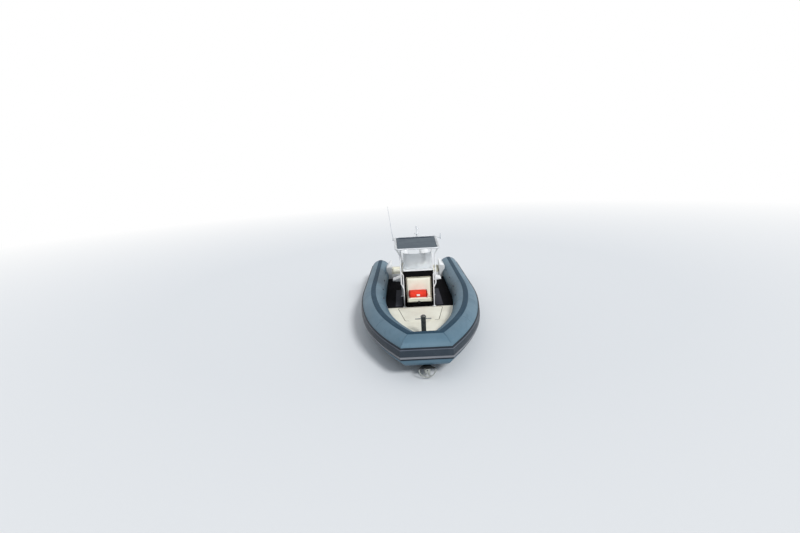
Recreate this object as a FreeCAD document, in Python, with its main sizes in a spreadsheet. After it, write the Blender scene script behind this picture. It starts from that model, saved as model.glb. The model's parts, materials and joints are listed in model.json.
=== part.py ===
import FreeCAD, Part

import math
import os
import re

from FreeCAD import Placement, Rotation, Vector

# Centre-console inflatable boat with a rigid hull, in millimetres.
# X runs forward from the transom, Y to port, Z up from the waterline.

doc = FreeCAD.newDocument("rigid_inflatable_boat")
sheet = doc.addObject("Spreadsheet::Sheet", "Sizes")

# Driving dimensions: name, value
SIZES = [
    # Inflatable collar, seen from above: straight, two arcs, straight, mitred bow tube
    ("tube_radius", 380),
    ("collar_half_beam", 1470),
    ("collar_straight_end", 4330),
    ("collar_mid_radius", 12500),
    ("collar_mid_angle", 12),
    ("collar_mid_runs", 3),
    ("collar_bow_radius", 6600),
    ("collar_bow_angle", 30),
    ("collar_bow_runs", 4),
    ("bow_corner_half_width", 370),
    ("collar_height", 500),
    ("collar_sheer", 0.95),
    ("tube_tail", 60),
    ("tube_cone", 280),
    ("tube_tip_radius", 245),
    ("tube_dome", 120),
    ("bond_gap", 0.3),
    ("strip_width", 150),
    ("strip_thickness", 5),
    # Hull and decks
    ("keel_depth", 430),
    ("deck_height", 400),
    ("deck_thickness", 25),
    ("deck_gap", 1),
    ("foredeck_height", 620),
    ("foredeck_aft", 5900),
    ("foredeck_wall", 60),
    ("hatch_front", 7080),
    ("hatch_aft_width", 1340),
    ("hatch_front_width", 900),
    ("hatch_thickness", 30),
    ("hatch_gap", 6),
    ("hatch_ledge", 35),
    ("hatch_pin_radius", 5),
    ("hatch_knuckle_radius", 11),
    ("hatch_hinge_forward", 24),
    ("hatch_knuckle_length", 90),
    ("transom_top", 540),
    ("transom_thickness", 80),
    # Mooring post and its pin
    ("post_forward", 8150),
    ("post_radius", 62),
    ("post_height", 533),
    ("pin_radius", 13),
    ("pin_length", 400),
    ("pin_below_top", 105),
    ("pin_groove_gap", 1),
    ("pin_groove_width", 3),
    ("pin_groove_depth", 1.5),
    ("pin_play", 0.05),
    # Console
    ("console_front", 5130),
    ("console_length", 1080),
    ("console_width", 960),
    ("console_top", 1585),
    ("dash_height", 40),
    ("dash_slope_drop", 330),
    ("console_corner", 70),
    # Seat in front of the console
    ("seat_width", 750),
    ("seat_depth", 520),
    ("seat_top", 800),
    ("cushion_thickness", 110),
    ("backrest_width", 770),
    ("backrest_top", 1360),
    ("backrest_thickness", 90),
    ("soft_gap", 0.5),
    ("locker_door_width", 520),
    ("locker_door_height", 200),
    ("locker_door_thickness", 18),
    ("door_pin_radius", 5),
    ("locker_depth", 330),
    ("bolster_width", 620),
    ("bolster_depth", 365),
    ("bolster_height", 175),
    ("bolster_shift", 35),
    # Windshield
    ("windshield_height", 475),
    ("windshield_thickness", 8),
    ("windshield_rake", 161),
    ("windshield_side", 520),
    # Canopy frame
    ("frame_radius", 24),
    ("leg_radius", 20),
    ("leg_foot_half", 470),
    ("leg_half", 540),
    ("front_leg", 5205),
    ("rear_leg", 3960),
    ("rear_leg_rake", 320),
    ("canopy_height", 2330),
    ("canopy_front", 5550),
    ("canopy_rear", 3170),
    ("canopy_front_half", 660),
    ("canopy_rear_half", 730),
    ("canopy_corner", 150),
    ("canopy_lace_gap", 38),
    ("canopy_thickness", 10),
    # Whip antenna, mast and stub
    ("whip_length", 1120),
    ("whip_lean", 6.4),
    ("mast_height", 380),
    ("mast_shift", 60),
    ("dome_radius", 85),
    ("stub_height", 210),
    ("stub_reach", 135),
    # Helm seat
    ("helm_seat_front", 3350),
    ("helm_seat_depth", 520),
    ("helm_seat_width", 1100),
    ("helm_tray_half", 870),
    ("helm_seat_top", 1000),
    ("helm_back_top", 1330),
    # Stern bench
    ("bench_aft", 800),
    ("bench_depth", 640),
    ("bench_width", 1900),
    ("bench_seat_top", 700),
    ("bench_back_top", 760),
    ("wing_thickness", 215),
    ("wing_top", 1050),
    # Steering wheel
    ("wheel_radius", 180),
    ("wheel_rim", 14),
    ("wheel_tilt", 25),
    ("wheel_height", 1375),
    ("wheel_off_dash", 150),
    ("wheel_shaft_radius", 11),
    # Outboards
    ("engine_half_spacing", 450),
    ("tilt_axis_aft", 70),
    ("tilt_axis_height", 630),
    ("tilt_pin_radius", 16),
    ("steer_axis_aft", 200),
    ("steer_tube_radius", 42),
    ("steer_pin_radius", 22),
    ("cowl_bottom", 700),
    ("cowl_top", 1360),
    ("cowl_front", -30),
    ("cowl_length", 800),
    ("cowl_width", 450),
    ("plate_height", -240),
    ("prop_axis_below_plate", 205),
    ("prop_radius", 190),
    ("hub_radius", 55),
    ("prop_shaft_radius", 14),
    ("running_gap", 0.05),
    ("moving_gap", 6),
    # Ground tackle
    ("roller_reach", 143),
    ("roller_drop", 89),
    ("roller_radius", 24),
    ("roller_root", 217),
    ("anchor_width", 400),
    ("anchor_reach", 150),
    ("anchor_bar", 13),
    ("anchor_plate", 10),
    # Towing eyes
    ("eye_bore", 16),
    ("eye_thickness", 14),
    ("stem_eye_aft", 307),
    ("stern_eye_half", 820),
    ("stern_eye_height", 120),
    # Grab handles on the tubes
    ("handle_length", 180),
    ("handle_width", 30),
    ("handle_height", 30),
    ("handle_bar", 9),
    ("handle_angle", 142),
]

for row, (name, value) in enumerate(SIZES, start=1):
    sheet.set("A%d" % row, name)
    sheet.set("B%d" % row, str(value))
    sheet.setAlias("B%d" % row, name)
doc.recompute()

NAMES = [name for name, value in SIZES]


class Sizes:
    """Reads the sheet's cells by name."""

    def __getattr__(self, name):
        return float(sheet.get(name))


S = Sizes()
sub_parts = []
X_AXIS, Y_AXIS, Z_AXIS = Vector(1, 0, 0), Vector(0, 1, 0), Vector(0, 0, 1)


def bound(formula):
    """Turns a formula in size names into one that reads the sheet."""
    return re.sub(r"[a-z_]{3,}", lambda m: "Sizes." + m.group(0) if m.group(0) in NAMES else m.group(0), formula)


def bind(thing, **formulas):
    """Binds properties to formulas; x, y and z stand for the place."""
    for key, formula in formulas.items():
        path = ".Placement.Base." + key if key in ("x", "y", "z") else key
        thing.setExpression(path, bound(formula))


def finished(thing, label):
    """Lists a document object as a sub-part under its own label."""
    thing.Label = label
    sub_parts.append(thing)
    return thing


def block(name, length, width, height, x, y, z):
    """A box bound to the sheet, lengths and place given as formulas."""
    thing = doc.addObject("Part::Box", name)
    bind(thing, Length=length, Width=width, Height=height, x=x, y=y, z=z)
    return thing


def feature(label, shape):
    """A sub-part whose shape is worked out from the sheet in code."""
    thing = doc.addObject("Part::Feature", label + "_shape")
    thing.Shape = shape
    return finished(thing, label)


def fused(shapes):
    """One shape from several that meet."""
    whole = shapes[0].fuse(shapes[1:]) if len(shapes) > 1 else shapes[0]
    return whole.removeSplitter()


def solid_box(x0, x1, y0, y1, z0, z1):
    return Part.makeBox(x1 - x0, y1 - y0, z1 - z0, Vector(x0, y0, z0))


def mirrored(shape):
    """The other side of the boat."""
    return shape.mirror(Vector(0, 0, 0), Y_AXIS)


def polygon(points):
    return Part.makePolygon(list(points) + [points[0]])


def half_space(point, normal, reach=5000):
    """A big block on the side of a plane that its normal points to."""
    slab = Part.makeBox(2 * reach, 2 * reach, reach, Vector(-reach, -reach, 0))
    slab.Placement = Placement(point, Rotation(Z_AXIS, normal))
    return slab


def rounded_outline(x0, x1, half0, half1, corner, z):
    """A closed outline of lines and corner arcs, symmetric about the keel line; half widths at x0 and x1."""
    corners = [Vector(x0, -half0, z), Vector(x1, -half1, z), Vector(x1, half1, z), Vector(x0, half0, z)]
    return rounded_polygon(corners, corner)


def rounded_polygon(corners, corner):
    edges, ends = [], []
    count = len(corners)
    for i, here in enumerate(corners):
        back = (corners[i - 1] - here).normalize()
        ahead = (corners[(i + 1) % count] - here).normalize()
        turn = math.pi - back.getAngle(ahead)
        reach = corner * math.tan(turn / 2)
        middle = here + (back + ahead).normalize() * (corner / math.cos(turn / 2) - corner)
        ends.append((here + back * reach, middle, here + ahead * reach))
    for i, (start, middle, stop) in enumerate(ends):
        edges.append(Part.Arc(start, middle, stop).toShape())
        following = ends[(i + 1) % count][0]
        if stop.distanceToPoint(following) > 1e-6:
            edges.append(Part.LineSegment(stop, following).toShape())
    return Part.Wire(edges)


def eased(points, bend, steps=3):
    """The route with each corner turned in short straight runs along an arc."""
    route = [points[0]]
    for before, here, after in zip(points, points[1:], points[2:]):
        back, ahead = (before - here).normalize(), (after - here).normalize()
        turn = math.pi - back.getAngle(ahead)
        reach = bend * math.tan(turn / 2)
        centre = here + (back + ahead).normalize() * (bend / math.cos(turn / 2))
        first, last = here + back * reach - centre, here + ahead * reach - centre
        for i in range(steps + 1):
            near, far = math.sin((1 - i / steps) * turn), math.sin(i / steps * turn)
            route.append(centre + (first * near + last * far) * (1 / math.sin(turn)))
    return route + [points[-1]]


def bent_tube(points, radius, bend):
    """A round bar bent along the points."""
    ring = Part.Wire(Part.makeCircle(radius, points[0], points[1] - points[0]))
    return Part.makePolygon(eased(points, bend)).makePipeShell([ring], True, False, 1)


def turned(rows, foot):
    """A round piece about Z from (radius, height) rows, standing on its foot."""
    outline = [Vector(0, 0, rows[0][1])] + [Vector(r, 0, z) for r, z in rows] + [Vector(0, 0, rows[-1][1])]
    piece = Part.Face(polygon(outline)).revolve(Vector(0, 0, 0), Z_AXIS, 360)
    piece.translate(foot)
    return piece


def bar_ring(radius, bar_radius, sweep):
    """A ring of eight-sided bar about Z, from the X axis on by the sweep in degrees."""
    corners = []
    for i in range(8):
        angle = math.radians(22.5 + 45 * i)
        corners.append(Vector(radius + bar_radius * math.cos(angle), 0, bar_radius * math.sin(angle)))
    return Part.Face(polygon(corners)).revolve(Vector(0, 0, 0), Z_AXIS, sweep)


# Collar: plan, sheer and the shapes swept along it

MID = math.radians(S.collar_mid_angle)
BOW = math.radians(S.collar_bow_angle)
SHEER = Placement(Vector(0, 0, S.collar_height), Rotation(Y_AXIS, -S.collar_sheer))


def on_circle(centre, radius, heading):
    """The point of an arc where the tube heads that far inwards."""
    return Vector(centre.x + radius * math.sin(heading), centre.y + radius * math.cos(heading), 0)


MID_CENTRE = Vector(S.collar_straight_end, S.collar_half_beam - S.collar_mid_radius, 0)
MID_END = on_circle(MID_CENTRE, S.collar_mid_radius, MID)
BOW_CENTRE = on_circle(MID_CENTRE, S.collar_mid_radius - S.collar_bow_radius, MID)
BOW_END = on_circle(BOW_CENTRE, S.collar_bow_radius, BOW)
LAST_RUN = (BOW_END.y - S.bow_corner_half_width) / math.sin(BOW)
CORNER = BOW_END + Vector(math.cos(BOW), -math.sin(BOW), 0) * LAST_RUN


def collar_points():
    """The port tube's centre line in plan: straight runs end to end, like the real tube's panels."""
    points = [Vector(0, S.collar_half_beam, 0)]
    for centre, radius, first, last, runs in (
            (MID_CENTRE, S.collar_mid_radius, 0, MID, int(S.collar_mid_runs)),
            (BOW_CENTRE, S.collar_bow_radius, MID, BOW, int(S.collar_bow_runs))):
        points += [on_circle(centre, radius, first + (last - first) * i / runs) for i in range(runs)]
    return points + [BOW_END, CORNER]


COLLAR = collar_points()


def collar_half_width(x):
    """Half the beam between tube centres at a distance from the transom."""
    for near, far in zip(COLLAR, COLLAR[1:]):
        if x <= far.x:
            return near.y + (far.y - near.y) * (x - near.x) / (far.x - near.x)
    return COLLAR[-1].y


def collar_level(x):
    """Height of the tube's centre above the waterline."""
    return S.collar_height + x * math.tan(math.radians(S.collar_sheer))


def collar_line(inset, start_x, extra=0):
    """The centre line moved inwards, from start_x to the mitre and extra beyond."""
    ways = [(b - a).normalize() for a, b in zip(COLLAR, COLLAR[1:])]
    line = [Vector(start_x, S.collar_half_beam - inset, 0)]
    for point, before, after in zip(COLLAR[1:], ways, ways[1:] + ways[-1:]):
        inwards = Vector(before.y + after.y, -before.x - after.x, 0)
        line.append(point + inwards * (inset / (1 + before.dot(after))))
    line[-1] = line[-1] + ways[-1] * extra
    return line


MITRE = (Vector(math.cos(BOW), -math.sin(BOW), 0) + Vector(0, -1, 0)).normalize()
OVERRUN = 2 * S.tube_radius
SEAM_ANGLE = -60


def collar_sweep(profile, start_x):
    """Sweeps a profile along the port tube up to the mitre."""
    path = Part.makePolygon(collar_line(0, start_x, OVERRUN))
    swept = path.makePipeShell([profile], True, False, 1)
    return swept.cut(half_space(CORNER, MITRE))


def bow_run(face):
    """Extrudes a face along the cross tube and mitres both ends."""
    run = face.extrude(Vector(0, 2 * (S.bow_corner_half_width + OVERRUN), 0))
    run = run.cut(half_space(CORNER, MITRE * -1))
    return run.cut(mirrored(half_space(CORNER, MITRE * -1)))


def tube_end(extra):
    """The cone and cap that close a tube aft, grown by extra."""
    rows = [
        (0, S.tube_radius),
        (S.tube_cone, S.tube_tip_radius),
        (S.tube_cone + 0.7 * S.tube_dome, 0.65 * S.tube_tip_radius),
    ]
    outline = [Vector(-S.tube_tail - back, radius + extra, 0) for back, radius in rows]
    outline[-1].x -= extra
    outline = [Vector(-S.tube_tail, 0, 0)] + outline + [Vector(outline[-1].x, 0, 0)]
    end = Part.Face(polygon(outline)).revolve(Vector(0, 0, 0), X_AXIS, 360)
    end.rotate(Vector(0, 0, 0), X_AXIS, SEAM_ANGLE)
    end.translate(Vector(0, S.collar_half_beam, 0))
    return end


def ring_wire(radius):
    """The tube's section at its tail, its seam below the strake."""
    ring = Part.makeCircle(radius, Vector(0, 0, 0), X_AXIS)
    first = ring.Vertexes[0].Point
    ring.rotate(Vector(0, 0, 0), X_AXIS, SEAM_ANGLE - math.degrees(math.atan2(first.z, first.y)))
    ring.translate(Vector(-S.tube_tail, S.collar_half_beam, 0))
    return Part.Wire(ring)


def side_tube(extra):
    """The port tube with its aft cone, radius grown by extra, before the sheer."""
    return fused([collar_sweep(ring_wire(S.tube_radius + extra), -S.tube_tail), tube_end(extra)])


def bow_tube(extra):
    ring = Part.makeCircle(S.tube_radius + extra, Vector(0, 0, 0), Y_AXIS)
    first = ring.Vertexes[0].Point
    ring.rotate(Vector(0, 0, 0), Y_AXIS, math.degrees(math.atan2(first.z, first.x)) - SEAM_ANGLE)
    ring.translate(Vector(CORNER.x, -S.bow_corner_half_width - OVERRUN, 0))
    return bow_run(Part.Face(Part.Wire(ring)))


def sheered(shape):
    moved = shape.copy()
    moved.Placement = SHEER.multiply(moved.Placement)
    return moved


def band_points(bands, centre, across):
    """A band on the tube's skin from (from_deg, to_deg, height) rows; across is the outward direction."""
    def at(angle, radius):
        turn = math.radians(angle)
        return centre + across * (radius * math.cos(turn)) + Z_AXIS * (radius * math.sin(turn))
    edges, radius = [], S.tube_radius
    first, last = bands[0][0], bands[-1][1]
    edges.append(Part.Arc(at(last, radius), at((first + last) / 2, radius), at(first, radius)).toShape())
    here = at(first, radius)
    for start, stop, height in bands:
        outer = radius + height
        edges.append(Part.LineSegment(here, at(start, outer)).toShape())
        edges.append(Part.Arc(at(start, outer), at((start + stop) / 2, outer), at(stop, outer)).toShape())
        here = at(stop, outer)
    edges.append(Part.LineSegment(here, at(last, radius)).toShape())
    return Part.Wire(edges)


def collar_band(bands, start_x):
    """A band all round the collar, one piece from stern to stern."""
    side_centre = Vector(start_x, S.collar_half_beam, 0)
    port = collar_sweep(band_points(bands, side_centre, Y_AXIS), start_x)
    bow_centre = Vector(CORNER.x, -S.bow_corner_half_width - OVERRUN, 0)
    bow = bow_run(Part.Face(band_points(bands, bow_centre, X_AXIS)))
    return port, bow


port_tube = sheered(side_tube(0))
cross_tube = sheered(bow_tube(0))
grown_port = sheered(side_tube(S.bond_gap))
grown_cross = sheered(bow_tube(S.bond_gap))
collar_cutters = [grown_port, mirrored(grown_port), grown_cross]

feature("tube_port", port_tube)
feature("tube_starboard", mirrored(port_tube))
feature("tube_bow", cross_tube)

# Wear strip along the top of the tubes, over the aft cones too
strip_half = math.degrees(S.strip_width / 2 / S.tube_radius)
strip_side, strip_bow = collar_band([(90 - strip_half, 90 + strip_half, S.strip_thickness)], -S.tube_tail)
cone_skin = tube_end(S.strip_thickness).cut(tube_end(0))
cone_top = solid_box(-S.tube_tail - S.tube_cone, -S.tube_tail, S.collar_half_beam - S.strip_width / 2,
                     S.collar_half_beam + S.strip_width / 2, S.tube_radius / 4, 2 * S.tube_radius)
strip_side = fused([strip_side, cone_skin.common(cone_top)])
feature("wear_strip", sheered(fused([strip_side, strip_bow, mirrored(strip_side)])))

# Rubbing strake: from_deg, to_deg above the tube's outer side, height of the band
STRAKE_BANDS = [
    (-20, -14, 20),
    (-14, -7, 28),
    (-7, 15, 14),
    (15, 24, 24),
]
strake_side, strake_bow = collar_band(STRAKE_BANDS, 0)
feature("rub_strake", sheered(fused([strake_side, strake_bow, mirrored(strake_side)])))

# Rigid hull stations: share of the way to the bow tube, keel height over keel_depth,
# chine's share of the collar's half width, chine height over deck_height
HULL_SECTIONS = [
    (0, -1.00, 0.762, 0.05),
    (0.3331, -1.00, 0.762, 0.075),
    (0.5773, -0.97, 0.736, 0.20),
    (0.7328, -0.80, 0.669, 0.375),
    (0.8438, -0.46, 0.563, 0.51),
    (0.9215, -0.05, 0.446, 0.60),
    (0.9659, 0.28, 0.352, 0.655),
    (0.9937, 0.52, 0.223, 0.71),
]
FLARE_TUCK = 0.24  # share of the tube's radius
EDGE_TUCK = 0.63
FLARE_DROP = 0.66


def keel_level(x):
    """Height of the keel line at a distance from the transom."""
    rows = [(share * CORNER.x, keel * S.keel_depth) for share, keel, chine, height in HULL_SECTIONS]
    for near, far in zip(rows, rows[1:]):
        if x <= far[0]:
            return near[1] + (far[1] - near[1]) * (x - near[0]) / (far[0] - near[0])
    return rows[-1][1]


def hull_section(share, keel_share, chine_share, chine_height):
    """One station: keel, chine, flare and the edges that tuck into the tubes."""
    x = share * CORNER.x
    half, level = collar_half_width(x), collar_level(x)
    side = [
        Vector(x, chine_share * half, chine_height * S.deck_height),
        Vector(x, half - FLARE_TUCK * S.tube_radius, level - FLARE_DROP * S.tube_radius),
        Vector(x, half - EDGE_TUCK * S.tube_radius, S.deck_height - S.deck_thickness),
    ]
    other = [Vector(p.x, -p.y, p.z) for p in reversed(side)]
    return polygon([Vector(x, 0, keel_share * S.keel_depth)] + side + other)


hull = Part.makeLoft([hull_section(*row) for row in HULL_SECTIONS], True, True)
for cutter in collar_cutters:
    hull = hull.cut(cutter)
feature("hull", hull)


def deck_plate(inset, x0, x1, z0, z1):
    """A level plate inside the collar between two stations."""
    line = collar_line(inset, 0)
    across = [Vector(p.x, -p.y, 0) for p in reversed(line)]
    plate = Part.Face(polygon(line + across)).extrude(Vector(0, 0, z1 - z0))
    plate.translate(Vector(0, 0, z0))
    return plate.common(solid_box(x0, x1, -2 * S.collar_half_beam, 2 * S.collar_half_beam, z0, z1))


TOP_OF_HULL = S.deck_height - S.deck_thickness
deck = deck_plate(EDGE_TUCK * S.tube_radius, 0, CORNER.x, TOP_OF_HULL, S.deck_height)
for cutter in collar_cutters:
    deck = deck.cut(cutter)
feature("deck", deck)

transom = solid_box(0, S.transom_thickness, -S.collar_half_beam, S.collar_half_beam, S.deck_height, S.transom_top)
for cutter in collar_cutters:
    transom = transom.cut(cutter)
feature("transom", transom)

# Raised foredeck with a locker under a hinged lid
bow_face = CORNER.x * math.cos(math.radians(S.collar_sheer)) - S.tube_radius
foredeck = deck_plate(S.tube_radius + S.deck_gap, S.foredeck_aft, bow_face - S.deck_gap, S.deck_height, S.foredeck_height)


def hatch_face(grow, z):
    """The lid's outline: a tapered panel that narrows towards the bow."""
    return Part.Face(rounded_outline(S.foredeck_aft + S.foredeck_wall - grow, S.hatch_front + grow,
                                     S.hatch_aft_width / 2 + grow, S.hatch_front_width / 2 + grow, 60 + grow, z))


lid_top = S.foredeck_height
recess = hatch_face(S.hatch_gap, lid_top - S.hatch_thickness).extrude(Vector(0, 0, S.hatch_thickness + 5))
cavity = hatch_face(-S.hatch_ledge, S.deck_height).extrude(Vector(0, 0, S.foredeck_height - S.deck_height))
hatch_hinge = Vector(S.hatch_front + S.hatch_hinge_forward, 0, lid_top)
KNUCKLE_SHARES = (-0.62, 0.62)  # of the lid's front half width


def hatch_rod(radius, length, middle):
    """A rod on the lid's hinge line, middle off the keel line."""
    return Part.makeCylinder(radius, length, hatch_hinge + Vector(0, middle - length / 2, 0), Y_AXIS)


half_knuckle = S.hatch_knuckle_length / 2
knuckle_clear = S.hatch_knuckle_radius + S.moving_gap
foredeck = foredeck.cut(recess).cut(cavity)
lid = hatch_face(0, lid_top - S.hatch_thickness + S.bond_gap).extrude(Vector(0, 0, S.hatch_thickness - S.bond_gap))
for share in KNUCKLE_SHARES:
    at = share * S.hatch_front_width / 2
    pocket_half = half_knuckle + S.moving_gap
    foredeck = foredeck.cut(solid_box(S.hatch_front, hatch_hinge.x + knuckle_clear, at - pocket_half, at + pocket_half,
                                      lid_top - knuckle_clear, lid_top + 5))
    ears = []
    for side in (-1, 1):
        y = at + side * pocket_half
        ears.append(solid_box(hatch_hinge.x - S.hatch_knuckle_radius, hatch_hinge.x + 2 * knuckle_clear,
                              min(y, y + side * 10), max(y, y + side * 10), lid_top - 1, lid_top + S.hatch_knuckle_radius))
    foredeck = fused([foredeck, hatch_rod(S.hatch_pin_radius, 2 * pocket_half + 20, at)] + ears)
    lid = lid.fuse([
        hatch_rod(S.hatch_knuckle_radius, S.hatch_knuckle_length, at),
        solid_box(S.hatch_front - 40, hatch_hinge.x, at - half_knuckle, at + half_knuckle, lid_top - 1, lid_top + 5),
    ])
    lid = lid.cut(hatch_rod(S.hatch_pin_radius + S.running_gap, 2 * S.hatch_knuckle_length, at))
feature("foredeck", foredeck)
feature("foredeck_hatch", lid.removeSplitter())

# Mooring post with a domed cap, base flange and cross pin
post_top = S.foredeck_height + S.post_height
pin_height = post_top - S.pin_below_top
POST_ROWS = [  # share of the post's radius, height above the foredeck
    (1.45, 0),
    (1.45, 12),
    (1.0, 12),
    (1.0, S.post_height - 68),
    (1.12, S.post_height - 68),
    (1.12, S.post_height - 46),
    (0.9, S.post_height - 20),
    (0.5, S.post_height),
]
post = turned([(share * S.post_radius, z) for share, z in POST_ROWS], Vector(S.post_forward, 0, S.foredeck_height))


def pin_rod(radius, length):
    """A rod across the post at the pin's height."""
    return Part.makeCylinder(radius, length, Vector(S.post_forward, -length / 2, pin_height), Y_AXIS)


feature("mooring_post", post.cut(pin_rod(S.pin_radius + S.pin_play, S.pin_length)))
# A retaining-ring groove just outside the post on each side keeps the pin in its hole
inner_half = S.post_radius + S.pin_groove_gap
outer_half = inner_half + S.pin_groove_width
groove_rings = pin_rod(S.pin_radius + 1, 2 * outer_half).cut(pin_rod(S.pin_radius + 2, 2 * inner_half))
groove_rings = groove_rings.cut(pin_rod(S.pin_radius - S.pin_groove_depth, 2 * outer_half))
feature("mooring_pin", pin_rod(S.pin_radius, S.pin_length).cut(groove_rings))

# Console: a raked box with a sloped dash, rounded corners, and its top moulding
console_rear = S.console_front - S.console_length
dash_bottom = S.console_top - S.dash_slope_drop
DASH_RUN = 230
console = solid_box(console_rear, S.console_front, -S.console_width / 2, S.console_width / 2,
                    S.deck_height, S.console_top - S.dash_height)
knee_room = solid_box(console_rear - 10, console_rear + 120, -S.console_width / 2 + 90, S.console_width / 2 - 90,
                      S.deck_height + 160, dash_bottom - 60)
dash_cut_face = Part.Face(polygon([
    Vector(console_rear - 20, -S.console_width, dash_bottom),
    Vector(console_rear - 20, -S.console_width, S.console_top + 200),
    Vector(console_rear + DASH_RUN, -S.console_width, S.console_top + 200),
    Vector(console_rear + DASH_RUN, -S.console_width, S.console_top),
    Vector(console_rear, -S.console_width, dash_bottom),
]))
dash_cut = dash_cut_face.extrude(Vector(0, 2 * S.console_width, 0))
upright = [e for e in console.Edges if abs(e.Vertexes[0].Z - e.Vertexes[-1].Z) > 500]
console = console.makeFillet(S.console_corner, upright)
console = console.cut(knee_room).cut(dash_cut)
feature("console", console)
dash = solid_box(console_rear, S.console_front, -S.console_width / 2, S.console_width / 2,
                 S.console_top - S.dash_height, S.console_top)
dash = dash.makeFillet(S.console_corner, [e for e in dash.Edges if abs(e.Vertexes[0].Z - e.Vertexes[-1].Z) > 20])
dash = dash.cut(dash_cut)
feature("console_dash", dash)

# Windshield: a raked sheet that wraps round the front of the dash


def windshield_block(grow, further_back):
    """The sheet's outline, two sides and a curved front, run up along its rake."""
    half = S.console_width / 2 - 30 + grow
    front = S.console_front - 40 + grow
    rear = S.console_front - S.windshield_side - further_back
    a, b = Vector(rear, -half, S.console_top), Vector(front - 160, -half, S.console_top)
    c = Vector(front, 0, S.console_top)
    d, e = Vector(b.x, half, b.z), Vector(rear, half, a.z)
    outline = Part.Wire([Part.LineSegment(a, b).toShape(), Part.Arc(b, c, d).toShape(),
                         Part.LineSegment(d, e).toShape(), Part.LineSegment(e, a).toShape()])
    return Part.Face(outline).extrude(Vector(-S.windshield_rake, 0, S.windshield_height))


feature("windshield", windshield_block(0, 0).cut(windshield_block(-S.windshield_thickness, 60)))

# Seat against the console front: plinth, locker door, cushion, backrest, bolster
seat_under = S.seat_top - S.cushion_thickness - S.soft_gap
plinth_front = S.console_front + S.seat_depth - 40
plinth = solid_box(S.console_front, plinth_front, -S.seat_width / 2 + 10, S.seat_width / 2 - 10,
                   S.deck_height, seat_under)
door_low = S.deck_height + 45
door_cut = solid_box(plinth_front - S.locker_door_thickness - S.hatch_gap, plinth_front + 5,
                     -S.locker_door_width / 2 - S.hatch_gap, S.locker_door_width / 2 + S.hatch_gap,
                     door_low - S.hatch_gap, door_low + S.locker_door_height + S.hatch_gap)
locker = solid_box(plinth_front - S.locker_depth, plinth_front,
                   -S.locker_door_width / 2 + 25, S.locker_door_width / 2 - 25,
                   door_low + 15, door_low + S.locker_door_height - 15)
hinge_radius = S.locker_door_thickness / 2
hinge_line = Vector(plinth_front - hinge_radius, 0, door_low + hinge_radius)


def hinge_rod(radius, length):
    """A rod along the door's hinge line."""
    return Part.makeCylinder(radius, length, hinge_line - Vector(0, length / 2, 0), Y_AXIS)


pocket_width = S.locker_door_width + 2 * S.hatch_gap
plinth = fused([plinth.cut(door_cut).cut(locker), hinge_rod(S.door_pin_radius, pocket_width)])
feature("seat_plinth", plinth)
door = fused([
    hinge_rod(hinge_radius, S.locker_door_width),
    solid_box(plinth_front - S.locker_door_thickness, plinth_front, -S.locker_door_width / 2, S.locker_door_width / 2,
              hinge_line.z, door_low + S.locker_door_height),
])
feature("seat_locker_door", door.cut(hinge_rod(S.door_pin_radius + S.running_gap, pocket_width)))

cushion = block("seat_cushion_block", "seat_depth - backrest_thickness - 2 * soft_gap", "seat_width",
                "cushion_thickness", "console_front + backrest_thickness + 2 * soft_gap", "-seat_width / 2",
                "seat_top - cushion_thickness")
finished(cushion, "front_seat_cushion")
backrest = block("backrest_block", "backrest_thickness", "backrest_width", "backrest_top - seat_top + cushion_thickness",
                 "console_front + soft_gap", "-backrest_width / 2", "seat_top - cushion_thickness")
finished(backrest, "front_backrest")
bolster = block("bolster_block", "bolster_depth", "bolster_width", "bolster_height",
                "console_front + backrest_thickness + 3 * soft_gap", "-bolster_width / 2 - bolster_shift",
                "seat_top + soft_gap")
finished(bolster, "bolster")

# Canopy frame: two side frames of bent tube, and a ring of thicker tube with cross bars
lean_out = S.leg_half - S.leg_foot_half


def ring_half(x):
    share = (x - S.canopy_rear) / (S.canopy_front - S.canopy_rear)
    return S.canopy_rear_half + share * (S.canopy_front_half - S.canopy_rear_half)


def leg(foot_x, head_x, foot_half):
    """One leg: up from the deck, out to the grab rail, then a knee out to the ring."""
    ring_y = ring_half(head_x)
    return bent_tube([
        Vector(foot_x, foot_half, S.deck_height),
        Vector(foot_x, foot_half, 1010),
        Vector(foot_x, S.leg_half, 1160),
        Vector(head_x, S.leg_half, S.canopy_height - 260),
        Vector(head_x, ring_y, S.canopy_height),
    ], S.leg_radius, 60) if foot_half < S.leg_half else bent_tube([
        Vector(foot_x, foot_half, S.deck_height),
        Vector(head_x, S.leg_half, S.canopy_height - 260),
        Vector(head_x, ring_y, S.canopy_height),
    ], S.leg_radius, 60)


ring_port = bent_tube([
    Vector(S.canopy_front, 0, S.canopy_height),
    Vector(S.canopy_front, ring_half(S.canopy_front), S.canopy_height),
    Vector(S.canopy_rear, ring_half(S.canopy_rear), S.canopy_height),
    Vector(S.canopy_rear, 0, S.canopy_height),
], S.frame_radius, S.canopy_corner)
bar_level = S.canopy_height - S.canopy_thickness / 2 - S.soft_gap - S.frame_radius
bars = []
for share in (0.22, 0.5, 0.78):
    x = S.canopy_rear + share * (S.canopy_front - S.canopy_rear)
    half = ring_half(x)
    bars.append(Part.makeCylinder(S.frame_radius, 2 * half, Vector(x, -half, bar_level), Y_AXIS))
canopy_frame = fused([ring_port, mirrored(ring_port)] + bars)
feature("canopy_frame", canopy_frame)

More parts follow.
